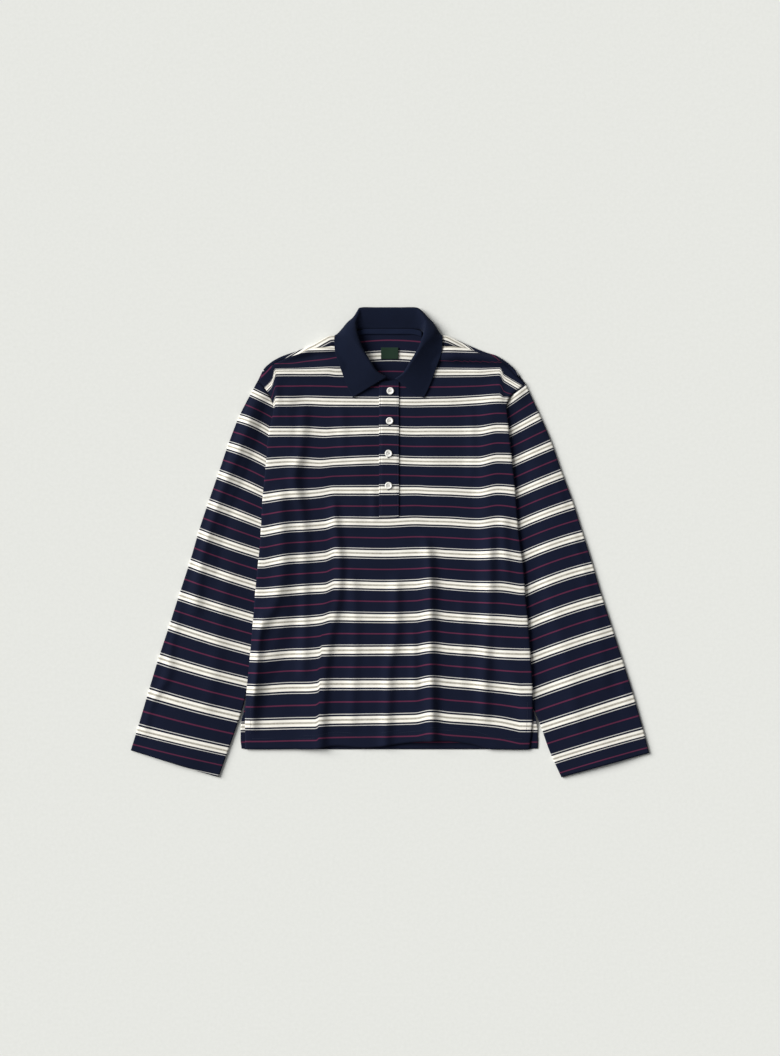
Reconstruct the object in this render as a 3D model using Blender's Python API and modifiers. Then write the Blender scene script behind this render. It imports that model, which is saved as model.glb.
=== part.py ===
"""A long-sleeved polo shirt laid flat, face up, on a table.

The table is z = 0, +X runs to the right sleeve and +Y to the collar.
Lengths in the tables are millimetres; MM turns them into metres.

From the table up lie: the two sleeves and the collar's back fall, the back panel,
the front panel, the placket strip with its buttons and the collar's front fall.
"""
import math

import bmesh
import bpy
import numpy as np

MM = 0.001

# --- Cloth, in millimetres -------------------------------------------------
JERSEY = 1.4            # wall of the jersey panels
COLLAR_KNIT = 2.0       # wall of the flat-knit collar
PLACKET_CLOTH = 1.8     # doubled jersey of the placket strip
TAPE_CLOTH = 1.0        # neck tape and label
SEAM = 0.45             # clear space where two pieces meet
BODY_AIR = 1.8          # air between front and back, away from the side seams
SIDE_ROLL = 10.0        # width over which the front rolls down to a side seam
FALL_LOW = 0.3          # height of the back fall's underside
SLEEVE_FLAT = 4.2       # height of a sleeve where the body lies on it
SLEEVE_PUFF = 2.6       # what the free part of a sleeve stands higher

# --- Outline of the body ---------------------------------------------------
# Columns: x, y. Each armhole starts at the shoulder tip; its first four rows are
# the seam with the body, the rest runs on below the body.
ARMHOLE_LEFT = ((-205, 251), (-197, 241), (-188.5, 231.5), (-182, 217),
                (-175, 207.5), (-166, 199))
ARMHOLE_RIGHT = ((210, 246), (198.5, 236), (187.5, 226.7), (181, 212.3),
                 (174.5, 203.5), (166, 195))
ARMHOLE_SEAM_ROWS = 4
# Columns: y, x of the body's side below the armhole.
SIDE_LEFT = ((207, -180.5), (192, -183), (171, -188), (126, -192), (70, -197.5),
             (0, -201.5), (-66, -208), (-128, -213), (-180, -217.5), (-225, -222),
             (-250, -224), (-290, -225), (-321.5, -225))
SIDE_RIGHT = ((202, 181.5), (188, 183), (173, 184.5), (127, 189.5), (77, 194.5),
              (10, 200), (-40, 207), (-80, 210), (-128, 214.5), (-175, 218),
              (-225, 221), (-297, 219.5), (-322, 216.5))
# Columns: y, how much wider the back panel is below the top of a side vent.
VENT_STEP_LEFT = ((-250, 0), (-262, 2), (-275, 5.5), (-290, 7), (-310, 7), (-321.5, 5.5))
VENT_STEP_RIGHT = ((-250, 0), (-262, 1.5), (-275, 5.5), (-290, 9), (-310, 12), (-322, 13))
# Columns: u across the panel, x, y. The front's top edge: shoulder, neckline, shoulder.
FRONT_TOP = ((0.0, -205, 251), (0.03, -194, 264), (0.06, -184.5, 273), (0.10, -170.5, 281.5),
             (0.16, -141.5, 291.5), (0.22, -117, 301), (0.27, -97, 303), (0.31, -82, 306),
             (0.345, -66, 311), (0.37, -61, 298), (0.40, -52, 279), (0.43, -40, 263),
             (0.465, -23, 250.5), (0.50, 0, 244.5), (0.535, 18.5, 250.5), (0.57, 35.5, 263),
             (0.60, 47.5, 279), (0.63, 56, 298), (0.655, 61, 311), (0.69, 80, 304.5),
             (0.74, 99, 303.5), (0.79, 122, 300), (0.84, 142.5, 291), (0.90, 167.5, 282),
             (0.94, 186, 268.5), (0.97, 197, 257), (1.0, 210, 246))
# The back's top edge, which is the fold of the shoulders and the back neckline.
BACK_TOP = ((0.0, -205, 251), (0.03, -196.5, 268), (0.06, -187, 277.5), (0.10, -172.5, 286.5),
            (0.16, -144, 297), (0.22, -119, 307), (0.27, -102, 315), (0.31, -85, 316.5),
            (0.345, -66, 319), (0.375, -54, 327.5), (0.40, -43, 330.6), (0.44, -27, 331),
            (0.50, -2.5, 331), (0.56, 22, 331), (0.60, 38, 330.6), (0.625, 49, 327.5),
            (0.655, 61, 319), (0.69, 80, 317), (0.74, 96, 314), (0.79, 119, 307),
            (0.84, 145, 296), (0.90, 170, 287), (0.94, 189, 273), (0.97, 200, 260),
            (1.0, 210, 246))
SHOULDER_LEFT_END = 0.345
SHOULDER_RIGHT_START = 0.655
TIP_COLUMNS = 2         # columns at a shoulder tip that have no fold over
# Columns: x, y of the front's hem, which lifts off the back between x = -11 and 147.
FRONT_HEM = ((-225, -321.5), (-160, -321.2), (-112, -320.2), (-90, -316.5), (-30, -319),
             (-11, -316.5), (30, -311), (62, -308.5), (110, -311), (135, -315.5), (150, -320.5),
             (175, -321.8), (216.5, -322))
BACK_HEM = ((-230.5, -320.5), (-215, -321.5), (-150, -321.5), (0, -321.5), (150, -321.5),
            (205, -321.5), (229.5, -320.5))
# y of the rows of both panels, on the left side.
ROW_STEP = 20.5
PANEL_COLUMNS = 32
HEM_Y = -321.5

# --- Sleeves ---------------------------------------------------------------
# Columns: x and y of the outer edge, x and y of the inner edge, armhole to cuff.
SLEEVE_LEFT = ((-205, 251, -166, 199), (-232, 200, -166, 171), (-250, 155, -163, 119),
               (-265, 111, -162, 68), (-281, 65, -162, 22), (-296, 20, -164, -26),
               (-310, -28, -169, -74), (-327.5, -82, -177, -128), (-343.5, -132, -194, -176),
               (-360, -182, -217, -221), (-375, -232, -232.5, -270),
               (-391, -286, -248.5, -316), (-402.5, -323, -266, -365))
SLEEVE_RIGHT = ((210, 246, 166, 195), (231, 201, 166, 167), (250, 157, 163, 118),
                (266, 111, 162, 67), (283, 65, 162, 19), (298, 18, 164, -29),
                (312, -26, 168, -77), (328, -80, 176, -132), (344, -130, 190, -182),
                (360, -180, 211, -231), (377, -234, 232.5, -282),
                (392, -287, 247.5, -324), (402.5, -327, 266, -365))
SLEEVE_RINGS = 19
ARMHOLE_CLEAR = 1.2     # seam widths between the sleeve's ring and the body, each way
# Places across the face and the back of a ring, and angles round its folds.
RING_FACE = (0.0, 0.02, 0.05, 0.1, 0.18, 0.28, 0.4, 0.52, 0.64, 0.76, 0.86, 0.93, 0.975, 1.0)
RING_FOLD = (math.pi / 4, 0.0, -math.pi / 4)
RING_BACK = (1.0, 0.8, 0.55, 0.3, 0.1, 0.0)

# --- Collar ----------------------------------------------------------------
COLLAR_MIDDLE = -2.5    # x of the collar's middle
# One row for each section, from the back's middle to the front end of one half.
# Columns: neck x, y, z; roll x, y, z and radius; how far the fall runs out over the
# roll before it turns down; facing and turn of the roll in degrees; edge x, y, z.
# x is measured from the collar's middle, outward.
COLLAR_COLUMNS = ("neck_x", "neck_y", "neck_z", "roll_x", "roll_y", "roll_z", "roll_r",
                  "reach", "facing", "turn", "edge_x", "edge_y", "edge_z")
COLLAR_SECTIONS = (
    (0, 332.2, 4.1, 0, 361.1, 4.4, 2.6, 0, 90, 0, 0, 304, 1.3),
    (15, 332.2, 4.1, 20, 361.1, 4.4, 2.6, 0, 90, 0, 18, 304, 1.3),
    (31, 332.2, 4.1, 41.5, 361.0, 4.6, 2.6, 0, 93, 2, 40, 304.5, 1.3),
    (38, 332.2, 4.2, 47.5, 356.6, 6.2, 2.8, 0.6, 115, 18, 60, 307, 1.3),
    (44, 331.8, 4.4, 54.8, 343.3, 9.4, 3.0, 3, 132, 50, 74, 312, 1.3),
    (49.3, 330.6, 4.9, 55.8, 334.0, 12.6, 3.0, 7, 158, 72, 81, 318.5, 1.6),
    (53.8, 327.0, 5.6, 55.2, 326.3, 14.8, 3.0, 9, 174, 96, 82.8, 320.4, 5.0),
    (56.5, 321.0, 6.2, 53.4, 318.5, 16.0, 2.9, 7, 182, 118, 83.8, 317.0, 8.6),
    (57.5, 312.0, 6.2, 50.3, 310.5, 16.4, 2.8, 4, 186, 134, 83.8, 308, 9.0),
    (54.5, 298.5, 6.2, 47.0, 302.0, 16.2, 2.6, 1, 195, 148, 82, 292, 8.6),
    (46.5, 280.5, 6.1, 41.0, 290.5, 15.4, 2.6, 0, 203, 157, 75, 272, 6.8),
    (35.5, 265.0, 5.3, 32.2, 277.0, 14.2, 2.4, 0, 206, 162, 68.5, 254, 6.5),
    (22, 254.0, 4.6, 23.0, 263.5, 12.2, 2.2, 0, 207, 166, 61.5, 237, 6.5),
    (9, 249.5, 4.6, 8.5, 254.5, 9.6, 1.9, 0, 207, 170, 55.0, 224.3, 6.5),
)
# Where the sections of one half are read from the table.
COLLAR_PLACES = (0, 1, 1.7, 2, 2.4, 3, 3.5, 4, 5, 6, 7, 8, 9, 10, 11, 12, 13)
COLLAR_END_SHIFT = 4.0  # both front ends lie this far to the right of the middle
ROLL_SHIFT = 3.2        # and so does the roll along the sides of the neck
RUN_FROM, RUN_POWER = 0.35, 1.5     # how the fall runs out over the roll
RIGHT_END_DROP = 2.5    # the right front end lies this much lower than the left
FALL_UNDER_TO = 5       # last section whose fall lies below the back panel
FALL_OVER_FROM = 7      # first section whose fall lies on the front panel

# --- Placket, buttons, tape and label --------------------------------------
PLACKET_LEFT, PLACKET_RIGHT = -17.0, 14.0
PLACKET_TOP, PLACKET_BOTTOM = 243.5, 39.0
BUTTON_PLACES = ((0.5, 234.5), (-0.6, 188.0), (-2.3, 137.6), (-2.3, 87.7))
BUTTON_RADIUS = 5.6
BUTTON_THICK = 2.4
TAPE_HALF, TAPE_LOW, TAPE_HIGH = 45.0, 322.7, 330.6
LABEL_HALF, LABEL_LOW, LABEL_HIGH, LABEL_X = 13.5, 284.0, 302.0, -0.5

# --- Folds of the front ----------------------------------------------------
# Columns: x and y of the upper end, x and y of the lower end, sideways bow,
# width to the left, width to the right, height.
FRONT_FOLDS = (
    (-81, -10, -116, -330, -11, 20, 10, 3.4),
    (60, 20, 64, -330, 2, 22, 9, 3.8),
    (-124, 200, -128, -78, -3, 15, 15, -1.1),
    (152, 40, 152, -250, 3, 16, 16, -1.2),
    (95, 262, 140, 272, 3, 16, 16, -0.9),
    (-45, 190, -60, 20, 4, 18, 18, 1.3),
    (60, 180, 80, 40, -4, 18, 18, 1.2),
)
HEM_LIFT, HEM_LIFT_X, HEM_LIFT_SPAN, HEM_LIFT_RUN = 3.2, 62.0, 48.0, 70.0

# --- Where the body rises over what lies below it ---------------------------
SLEEVE_MARGIN = 6.0         # full height reaches this far past a sleeve's inner edge
SLEEVE_RAMP = 30.0          # and comes down to the table over this width
SLEEVE_RISE_TOP, SLEEVE_RISE_TOP_RUN = 252.0, 28.0
SLEEVE_RISE_END, SLEEVE_RISE_END_RUN = -302.0, 36.0
SLEEVE_ROWS_BELOW_BODY = 11
FALL_RISE_START, FALL_RISE_RUN = 256.0, 24.0
FALL_RISE_HALF, FALL_RISE_RAMP = 90.0, 30.0

# --- Colours ---------------------------------------------------------------
NAVY = (0.012, 0.018, 0.045)
COLLAR_NAVY = (0.014, 0.022, 0.052)
BUTTON_WHITE = (0.80, 0.79, 0.74)
LABEL_GREEN = (0.020, 0.055, 0.030)


def smoothstep(t):
    """0 below t = 0, 1 above t = 1, smooth between."""
    t = np.clip(t, 0.0, 1.0)
    return t * t * (3.0 - 2.0 * t)


def smooth_through(knots, values, at):
    """The smooth curve through table rows, read at the given places."""
    knots = np.asarray(knots, float)
    values = np.asarray(values, float)
    at = np.asarray(at, float)
    slopes = np.gradient(values, knots, axis=0)
    row = np.clip(np.searchsorted(knots, at, side="right") - 1, 0, len(knots) - 2)
    span = knots[row + 1] - knots[row]
    t = np.clip((at - knots[row]) / span, 0.0, 1.0)
    if values.ndim > 1:
        span, t = span[..., None], t[..., None]
    start = (2 * t ** 3 - 3 * t ** 2 + 1) * values[row]
    end = (3 * t ** 2 - 2 * t ** 3) * values[row + 1]
    leave = (t ** 3 - 2 * t ** 2 + t) * span * slopes[row]
    arrive = (t ** 3 - t ** 2) * span * slopes[row + 1]
    return start + end + leave + arrive


# --- Outline functions -----------------------------------------------------

def side_table(armhole, side):
    """y falling, x: the body's whole side, armhole seam and side seam."""
    seam = [(y, x) for x, y in armhole[:ARMHOLE_SEAM_ROWS]]
    return np.array(seam + list(side), float)


LEFT_TABLE = side_table(ARMHOLE_LEFT, SIDE_LEFT)
RIGHT_TABLE = side_table(ARMHOLE_RIGHT, SIDE_RIGHT)


def side_x(table, y):
    """x of the front panel's side at height y."""
    return smooth_through(-table[:, 0], table[:, 1], -np.asarray(y, float))


def vent_step(table, y):
    """How far the back panel reaches past the front at height y."""
    table = np.array(table, float)
    return np.interp(-np.asarray(y, float), -table[:, 0], table[:, 1])


def row_fractions():
    """v of each row of the body: armhole rows first, then even steps to the hem."""
    levels = [y for x, y in ARMHOLE_LEFT[:ARMHOLE_SEAM_ROWS]] + [207.0]
    count = round((levels[-1] - HEM_Y) / ROW_STEP)
    levels += list(np.linspace(levels[-1], HEM_Y, count + 1)[1:])
    return (levels[0] - np.array(levels)) / (levels[0] - HEM_Y)


def column_fractions(count):
    """u of each column, closer together at both sides."""
    t = np.linspace(0.0, 1.0, count + 1)
    return t - 0.3 * np.sin(2 * math.pi * t) / (2 * math.pi)


def panel_plan(u, v, top, hem, step_left=None, step_right=None):
    """x, y of a body panel between its top edge, its hem and its two sides."""
    u, v = np.meshgrid(u, v)
    top = np.array(top, float)
    y_left = LEFT_TABLE[0, 0] + (LEFT_TABLE[-1, 0] - LEFT_TABLE[0, 0]) * v
    y_right = RIGHT_TABLE[0, 0] + (RIGHT_TABLE[-1, 0] - RIGHT_TABLE[0, 0]) * v
    x_left = side_x(LEFT_TABLE, y_left)
    x_right = side_x(RIGHT_TABLE, y_right)
    if step_left is not None:
        x_left = x_left - vent_step(step_left, y_left)
        x_right = x_right + vent_step(step_right, y_right)
    top_xy = smooth_through(top[:, 0], top[:, 1:], u)
    hem = np.array(hem, float)
    hem_x = x_left[-1, 0] + (x_right[-1, 0] - x_left[-1, 0]) * u
    hem_y = smooth_through(hem[:, 0], hem[:, 1], hem_x)
    x = x_left + (x_right - x_left) * u
    y = y_left + (y_right - y_left) * u
    top_chord_x = x_left[0, 0] + (x_right[0, 0] - x_left[0, 0]) * u
    top_chord_y = y_left[0, 0] + (y_right[0, 0] - y_left[0, 0]) * u
    hem_chord_y = y_left[-1, 0] + (y_right[-1, 0] - y_left[-1, 0]) * u
    x = x + (1 - v) * (top_xy[..., 0] - top_chord_x)
    y = y + (1 - v) * (top_xy[..., 1] - top_chord_y) + v * (hem_y - hem_chord_y)
    return x, y


# --- Height functions ------------------------------------------------------

def rise_over_sleeve(x, y, sleeve, sign):
    """How far the body is lifted by the sleeve's inner margin below it."""
    inner = np.array([row[2:] for row in sleeve[:SLEEVE_ROWS_BELOW_BODY]], float)
    inner_x = np.interp(-y, -inner[:, 1], inner[:, 0])
    depth = sign * (inner_x - x)
    across = 1.0 - smoothstep((depth - SLEEVE_MARGIN) / SLEEVE_RAMP)
    top = smoothstep((SLEEVE_RISE_TOP - y) / SLEEVE_RISE_TOP_RUN)
    end = smoothstep((y - SLEEVE_RISE_END) / SLEEVE_RISE_END_RUN)
    return (SLEEVE_FLAT + SEAM) * across * top * end


def rise_over_fall(x, y):
    """How far the back panel is lifted by the collar's back fall below it."""
    up = smoothstep((y - FALL_RISE_START) / FALL_RISE_RUN)
    across = 1.0 - smoothstep((np.abs(x - COLLAR_MIDDLE) - FALL_RISE_HALF) / FALL_RISE_RAMP)
    return (COLLAR_KNIT + FALL_LOW + SEAM) * up * across


def back_bottom(x, y):
    """Height of the back panel's underside."""
    sleeves = rise_over_sleeve(x, y, SLEEVE_LEFT, -1) + rise_over_sleeve(x, y, SLEEVE_RIGHT, 1)
    return sleeves + rise_over_fall(x, y)


def side_round(x, y):
    """0 at the side seams, 1 inside the panel, round between."""
    inside = np.minimum(x - side_x(LEFT_TABLE, y), side_x(RIGHT_TABLE, y) - x)
    t = np.clip(inside / SIDE_ROLL, 0.0, 1.0)
    return np.sqrt(np.clip(1.0 - (1.0 - t) ** 2, 0.0, 1.0))


def fold_height(x, y, fold):
    """Height of one long soft fold, a ridge or a trough."""
    x_up, y_up, x_low, y_low, bow, width_left, width_right, height = fold
    run = math.hypot(x_low - x_up, y_low - y_up)
    along_x, along_y = (x_low - x_up) / run, (y_low - y_up) / run
    s = ((x - x_up) * along_x + (y - y_up) * along_y) / run
    off = (x - x_up) * -along_y + (y - y_up) * along_x - bow * 4 * s * (1 - s)
    width = np.where(off < 0, width_left, width_right)
    ends = smoothstep(s / 0.25) * smoothstep((1.0 - s) / 0.04 + 0.5)
    return height * np.exp(-(off / width) ** 2) * ends


def front_bottom(x, y):
    """Height of the front panel's underside."""
    folds = sum(fold_height(x, y, fold) for fold in FRONT_FOLDS)
    lift = HEM_LIFT * np.exp(-((x - HEM_LIFT_X) / HEM_LIFT_SPAN) ** 2)
    lift = lift * smoothstep((HEM_Y + HEM_LIFT_RUN - y) / HEM_LIFT_RUN)
    roll = side_round(x, y)
    return back_bottom(x, y) + JERSEY + SEAM + (BODY_AIR - SEAM + folds + lift) * roll


def front_top(x, y):
    """Height of the front panel's face."""
    return front_bottom(x, y) + JERSEY


# --- Building the pieces ---------------------------------------------------

def make_material(name, colour, roughness):
    """A Principled material of one colour."""
    material = bpy.data.materials.new(name)
    material.use_nodes = True
    shader = material.node_tree.nodes["Principled BSDF"]
    shader.inputs["Base Color"].default_value = (*colour, 1.0)
    shader.inputs["Roughness"].default_value = roughness
    shader.inputs["Metallic"].default_value = 0.0
    material.diffuse_color = (*colour, 1.0)
    return material


def sheet(name, points, material, wall, faces_on=None, closed=False, even=True):
    """A sheet through rows of points, given its wall by Solidify on the front side.

    points has the shape (rows, columns, 3) in millimetres. faces_on tells which
    cells of the grid are cloth; closed joins the last column to the first.
    """
    rows, columns = points.shape[:2]
    mesh = bpy.data.meshes.new(name)
    work = bmesh.new()
    used = np.zeros((rows, columns), bool)
    cells = [(r, c) for r in range(rows - 1) for c in range(columns if closed else columns - 1)
             if faces_on is None or faces_on(r, c)]
    for r, c in cells:
        for corner in ((r, c), (r + 1, c), (r, (c + 1) % columns), (r + 1, (c + 1) % columns)):
            used[corner] = True
    vertices = {}
    for r in range(rows):
        for c in range(columns):
            if used[r, c]:
                vertices[r, c] = work.verts.new(points[r, c] * MM)
    for r, c in cells:
        following = (c + 1) % columns
        work.faces.new((vertices[r, c], vertices[r + 1, c],
                        vertices[r + 1, following], vertices[r, following]))
    work.to_mesh(mesh)
    work.free()
    mesh.shade_smooth()
    mesh.materials.append(material)
    piece = bpy.data.objects.new(name, mesh)
    shirt.objects.link(piece)
    thicken = piece.modifiers.new("wall", "SOLIDIFY")
    thicken.thickness = wall * MM
    thicken.offset = 1.0
    thicken.use_even_offset = even
    return piece


def build_front(material):
    """The front panel, with its neckline cut out."""
    x, y = panel_plan(column_fractions(PANEL_COLUMNS), row_fractions(), FRONT_TOP, FRONT_HEM)
    points = np.stack((x, y, front_bottom(x, y)), axis=-1)
    return sheet("front", points, material, JERSEY)


def shoulder_wrap(x, y, u):
    """Rows of the back panel past its top edge: up round the fold, forward to the seam.

    Returns them from the seam down, and the plan of the row where the fold begins.
    """
    low = back_bottom(x[0], y[0])
    high = front_top(x[0], y[0])
    middle, radius = (low + high) / 2, (high - low) / 2
    seam = np.array(FRONT_TOP, float)
    seam_xy = smooth_through(seam[:, 0], seam[:, 1:], u)
    fold_xy = np.stack((x[0], y[0]), axis=-1)
    away = fold_xy - seam_xy
    away = away / np.maximum(np.linalg.norm(away, axis=1), 1.0)[:, None]
    rows = []
    for angle in (-45.0, 0.0, 45.0, 90.0):
        inward = radius * (1.0 - math.cos(math.radians(angle)))
        height = middle + radius * math.sin(math.radians(angle))
        rows.append(np.column_stack((fold_xy - away * inward[:, None], height)))
    last = seam_xy + away * SEAM
    rows.append(np.column_stack((last, front_top(last[:, 0], last[:, 1]))))
    return np.array(rows[::-1]), fold_xy - away * radius[:, None]


def build_back(material):
    """The back panel, carried over the shoulders to the forward seam."""
    u = column_fractions(PANEL_COLUMNS)
    left_end = int(np.argmin(np.abs(u - SHOULDER_LEFT_END)))
    right_start = int(np.argmin(np.abs(u - SHOULDER_RIGHT_START)))
    x, y = panel_plan(u, row_fractions(), BACK_TOP, BACK_HEM, VENT_STEP_LEFT, VENT_STEP_RIGHT)
    flat = np.stack((x, y, back_bottom(x, y)), axis=-1)
    wrap, fold_start = shoulder_wrap(x, y, u)
    folded = (np.arange(len(u)) <= left_end) | (np.arange(len(u)) >= right_start)
    folded[:TIP_COLUMNS] = folded[-TIP_COLUMNS:] = False
    flat[0, folded, :2] = fold_start[folded]
    points = np.concatenate((wrap, flat))
    lap = len(wrap)

    def is_cloth(r, c):
        wrapped = TIP_COLUMNS <= c < left_end or right_start <= c < len(u) - TIP_COLUMNS - 1
        return r >= lap or wrapped

    return sheet("back", points, material, JERSEY, is_cloth)


def sleeve_ring(width, shown):
    """One ring as (distance from the outer edge, height): face, inner fold, back, outer fold.

    shown is the share of the width that the body leaves free; only that part is puffed.
    """
    fold = SLEEVE_FLAT / 2
    flat = width - 2 * fold
    ring = []
    for t in RING_FACE:
        puff = SLEEVE_PUFF * math.sin(math.pi * min(t / shown, 1.0)) ** 1.5
        ring.append((fold + flat * t, SLEEVE_FLAT + puff))
    for angle in RING_FOLD:
        ring.append((width - fold + fold * math.cos(angle), fold + fold * math.sin(angle)))
    for t in RING_BACK:
        ring.append((fold + flat * t, 0.0))
    for angle in reversed(RING_FOLD):
        ring.append((fold - fold * math.cos(angle), fold + fold * math.sin(angle)))
    return np.array(ring)


def sleeve_rings(sleeve, side):
    """Rings of a flattened tube, from the armhole seam to the cuff."""
    table = np.array(sleeve, float)
    rows = smooth_through(np.arange(len(table)), table, np.linspace(0, len(table) - 1, SLEEVE_RINGS))
    body = LEFT_TABLE if side < 0 else RIGHT_TABLE
    armhole = np.array(ARMHOLE_LEFT if side < 0 else ARMHOLE_RIGHT, float)
    armhole = armhole + np.array((side, -1.0)) * SEAM * ARMHOLE_CLEAR
    rings = []
    for index, (x_out, y_out, x_in, y_in) in enumerate(rows):
        to_inner = np.array((x_in - x_out, y_in - y_out))
        width = np.linalg.norm(to_inner)
        body_edge = float(side_x(body, (y_out + y_in) / 2))
        shown = np.clip((body_edge - x_out) / to_inner[0] - 0.04, 0.5, 1.0)
        ring = sleeve_ring(width, 0.5 if index == 0 else shown)
        if index == 0:
            reach = np.insert(np.cumsum(np.hypot(*np.diff(armhole, axis=0).T)), 0, 0.0)
            along = ring[:, 0] * reach[-1] / width
            x, y = (np.interp(along, reach, armhole[:, k]) for k in (0, 1))
        else:
            x, y = np.outer(to_inner / width, ring[:, 0]) + np.array(((x_out,), (y_out,)))
        rings.append(np.column_stack((x, y, ring[:, 1])))
    return np.array(rings)


def build_sleeve(name, sleeve, side, material):
    """One long sleeve, flattened, open at the armhole and the cuff."""
    points = sleeve_rings(sleeve, side)
    if side > 0:
        points = points[:, ::-1]
    piece = sheet(name, points, material, JERSEY, closed=True, even=False)
    piece.modifiers["wall"].offset = -1.0
    return piece


def collar_section(row):
    """Points of one section through the middle of the knit: stand with roll, and fall."""
    part = dict(zip(COLLAR_COLUMNS, row))
    facing, turn = math.radians(part["facing"]), math.radians(part["turn"])
    out = np.array((-math.cos(facing), math.sin(facing), 0.0))
    up = np.array((0.0, 0.0, 1.0))
    neck = np.array((part["neck_x"], part["neck_y"], part["neck_z"]))
    middle = np.array((part["roll_x"], part["roll_y"], part["roll_z"]))
    edge = np.array((part["edge_x"], part["edge_y"], part["edge_z"]))
    radius = part["roll_r"]

    def on_roll(t):
        angle = turn - math.pi * t
        run_out = part["reach"] * max((t - RUN_FROM) / (1 - RUN_FROM), 0.0) ** RUN_POWER
        return middle + run_out * out + radius * (-math.sin(angle) * out + math.cos(angle) * up)

    def direction(angle):
        return math.cos(angle) * out + math.sin(angle) * up

    start, end = on_roll(0.0), on_roll(1.0)
    pull = 0.35 * np.linalg.norm(start - neck)
    points = [bezier(neck, neck + (start - neck) * 0.3, start - direction(turn) * pull, start, t)
              for t in (0.0, 0.33, 0.66)]
    points += [on_roll(t) for t in (0.0, 0.25, 0.5, 0.75, 1.0)]
    leave = (part["reach"] * RUN_POWER / (1 - RUN_FROM)) * out
    leave = leave + math.pi * radius * direction(turn - math.pi)
    leave = leave / np.linalg.norm(leave)
    pull = min(0.22 * np.linalg.norm(edge - end), 8.0)
    flat = np.array((edge[0] - end[0], edge[1] - end[1], 0.0))
    flat = flat / np.linalg.norm(flat)
    fall = [bezier(end, end + leave * pull, edge - flat * pull, edge, t)
            for t in (0.2, 0.4, 0.6, 0.8, 1.0)]
    return points, fall


def bezier(a, b, c, d, t):
    """A point of the cubic curve with the given four poles."""
    return (a * (1 - t) ** 3 + 3 * b * t * (1 - t) ** 2 + 3 * c * t ** 2 * (1 - t) + d * t ** 3)


def settle_fall(fall, place, mirror):
    """Lays the fall's points on what carries them: the table, or the front panel."""
    half_knit = COLLAR_KNIT / 2
    for point in fall:
        x = COLLAR_MIDDLE + mirror * point[0]
        point[2] = max(point[2], half_knit + FALL_LOW)
        if place >= FALL_OVER_FROM:
            point[2] = max(point[2], float(front_top(x, point[1])) + SEAM + half_knit)
        if place <= FALL_UNDER_TO and point[1] < shoulder_fold_y(x) + 3.0:
            point[2] = half_knit + FALL_LOW
    return fall


def shoulder_fold_y(x):
    """y of the back's top edge at x."""
    top = np.array(BACK_TOP, float)
    return float(np.interp(x, top[:, 1], top[:, 2]))


def collar_rows():
    """Sections of the whole collar, from the left front end to the right front end."""
    table = np.array(COLLAR_SECTIONS, float)
    rows = smooth_through(np.arange(len(table)), table, COLLAR_PLACES)
    halves = []
    for mirror in (-1, 1):
        half = []
        for place, row in zip(COLLAR_PLACES, rows):
            row = row.copy()
            neck_shift = COLLAR_END_SHIFT * smoothstep((place - len(table) + 4.0) / 3.0)
            roll_shift = max(ROLL_SHIFT * smoothstep((place - 2.0) / 2.0), neck_shift)
            row[COLLAR_COLUMNS.index("neck_x")] += mirror * neck_shift
            row[COLLAR_COLUMNS.index("roll_x")] += mirror * roll_shift
            if mirror > 0:
                drop = RIGHT_END_DROP * smoothstep((place - len(table) + 3.0) / 2.0)
                row[COLLAR_COLUMNS.index("roll_y")] -= drop
            stand, fall = collar_section(row)
            half.append(stand + settle_fall(fall, place, mirror))
        halves.append(np.array(half) * (mirror, 1, 1) + (COLLAR_MIDDLE, 0, 0))
    left, right = halves
    return np.concatenate((left[::-1], right[1:]))


def build_collar(material):
    """The flat-knit collar, one band from end to end."""
    piece = sheet("collar", collar_rows(), material, COLLAR_KNIT, even=False)
    piece.modifiers["wall"].offset = 0.0
    return piece


def build_placket(material):
    """The upper strip of the half placket, laid on the front panel."""
    x = np.linspace(PLACKET_LEFT, PLACKET_RIGHT, 5)
    y = np.linspace(PLACKET_TOP, PLACKET_BOTTOM, 15)
    x, y = np.meshgrid(x, y)
    points = np.stack((x, y, front_top(x, y) + SEAM), axis=-1)
    return sheet("placket", points, material, PLACKET_CLOTH)


def build_button(index, place, material):
    """One sew-through button: a turned disc with a raised rim."""
    x, y = place
    base = float(front_top(x, y)) + SEAM + PLACKET_CLOTH + SEAM
    radius, thick = BUTTON_RADIUS, BUTTON_THICK
    # Columns: distance from the axis, height. The profile runs from the top down.
    profile = ((0.0, thick - 0.7), (radius * 0.55, thick - 0.7), (radius * 0.72, thick),
               (radius * 0.9, thick), (radius, thick * 0.6), (radius, thick * 0.35),
               (radius * 0.8, 0.0), (0.0, 0.0))
    mesh = bpy.data.meshes.new("button_%d" % index)
    work = bmesh.new()
    points = [work.verts.new((r * MM, 0.0, z * MM)) for r, z in profile]
    for upper, lower in zip(points, points[1:]):
        work.edges.new((upper, lower))
    work.to_mesh(mesh)
    work.free()
    mesh.materials.append(material)
    button = bpy.data.objects.new("button_%d" % index, mesh)
    button.location = (x * MM, y * MM, base * MM)
    shirt.objects.link(button)
    turned = button.modifiers.new("turn", "SCREW")
    turned.steps = 20
    turned.render_steps = 20
    turned.use_merge_vertices = True
    turned.merge_threshold = 0.00001
    turned.use_smooth_shade = True
    return button


def build_strip(name, x, y, wall, material):
    """A flat strip laid on the inside of the back panel."""
    x, y = np.meshgrid(x, y)
    points = np.stack((x, y, back_bottom(x, y) + JERSEY + SEAM), axis=-1)
    return sheet(name, points, material, wall)


for old in list(bpy.data.objects):
    bpy.data.objects.remove(old, do_unlink=True)

shirt = bpy.data.collections.new("polo_shirt")
bpy.context.scene.collection.children.link(shirt)

striped_jersey = make_material("striped_jersey", NAVY, 0.85)
collar_knit = make_material("collar_knit", COLLAR_NAVY, 0.88)
button_plastic = make_material("button_plastic", BUTTON_WHITE, 0.35)
neck_cloth = make_material("neck_cloth", COLLAR_NAVY, 0.8)
label_cloth = make_material("label_cloth", LABEL_GREEN, 0.7)

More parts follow.
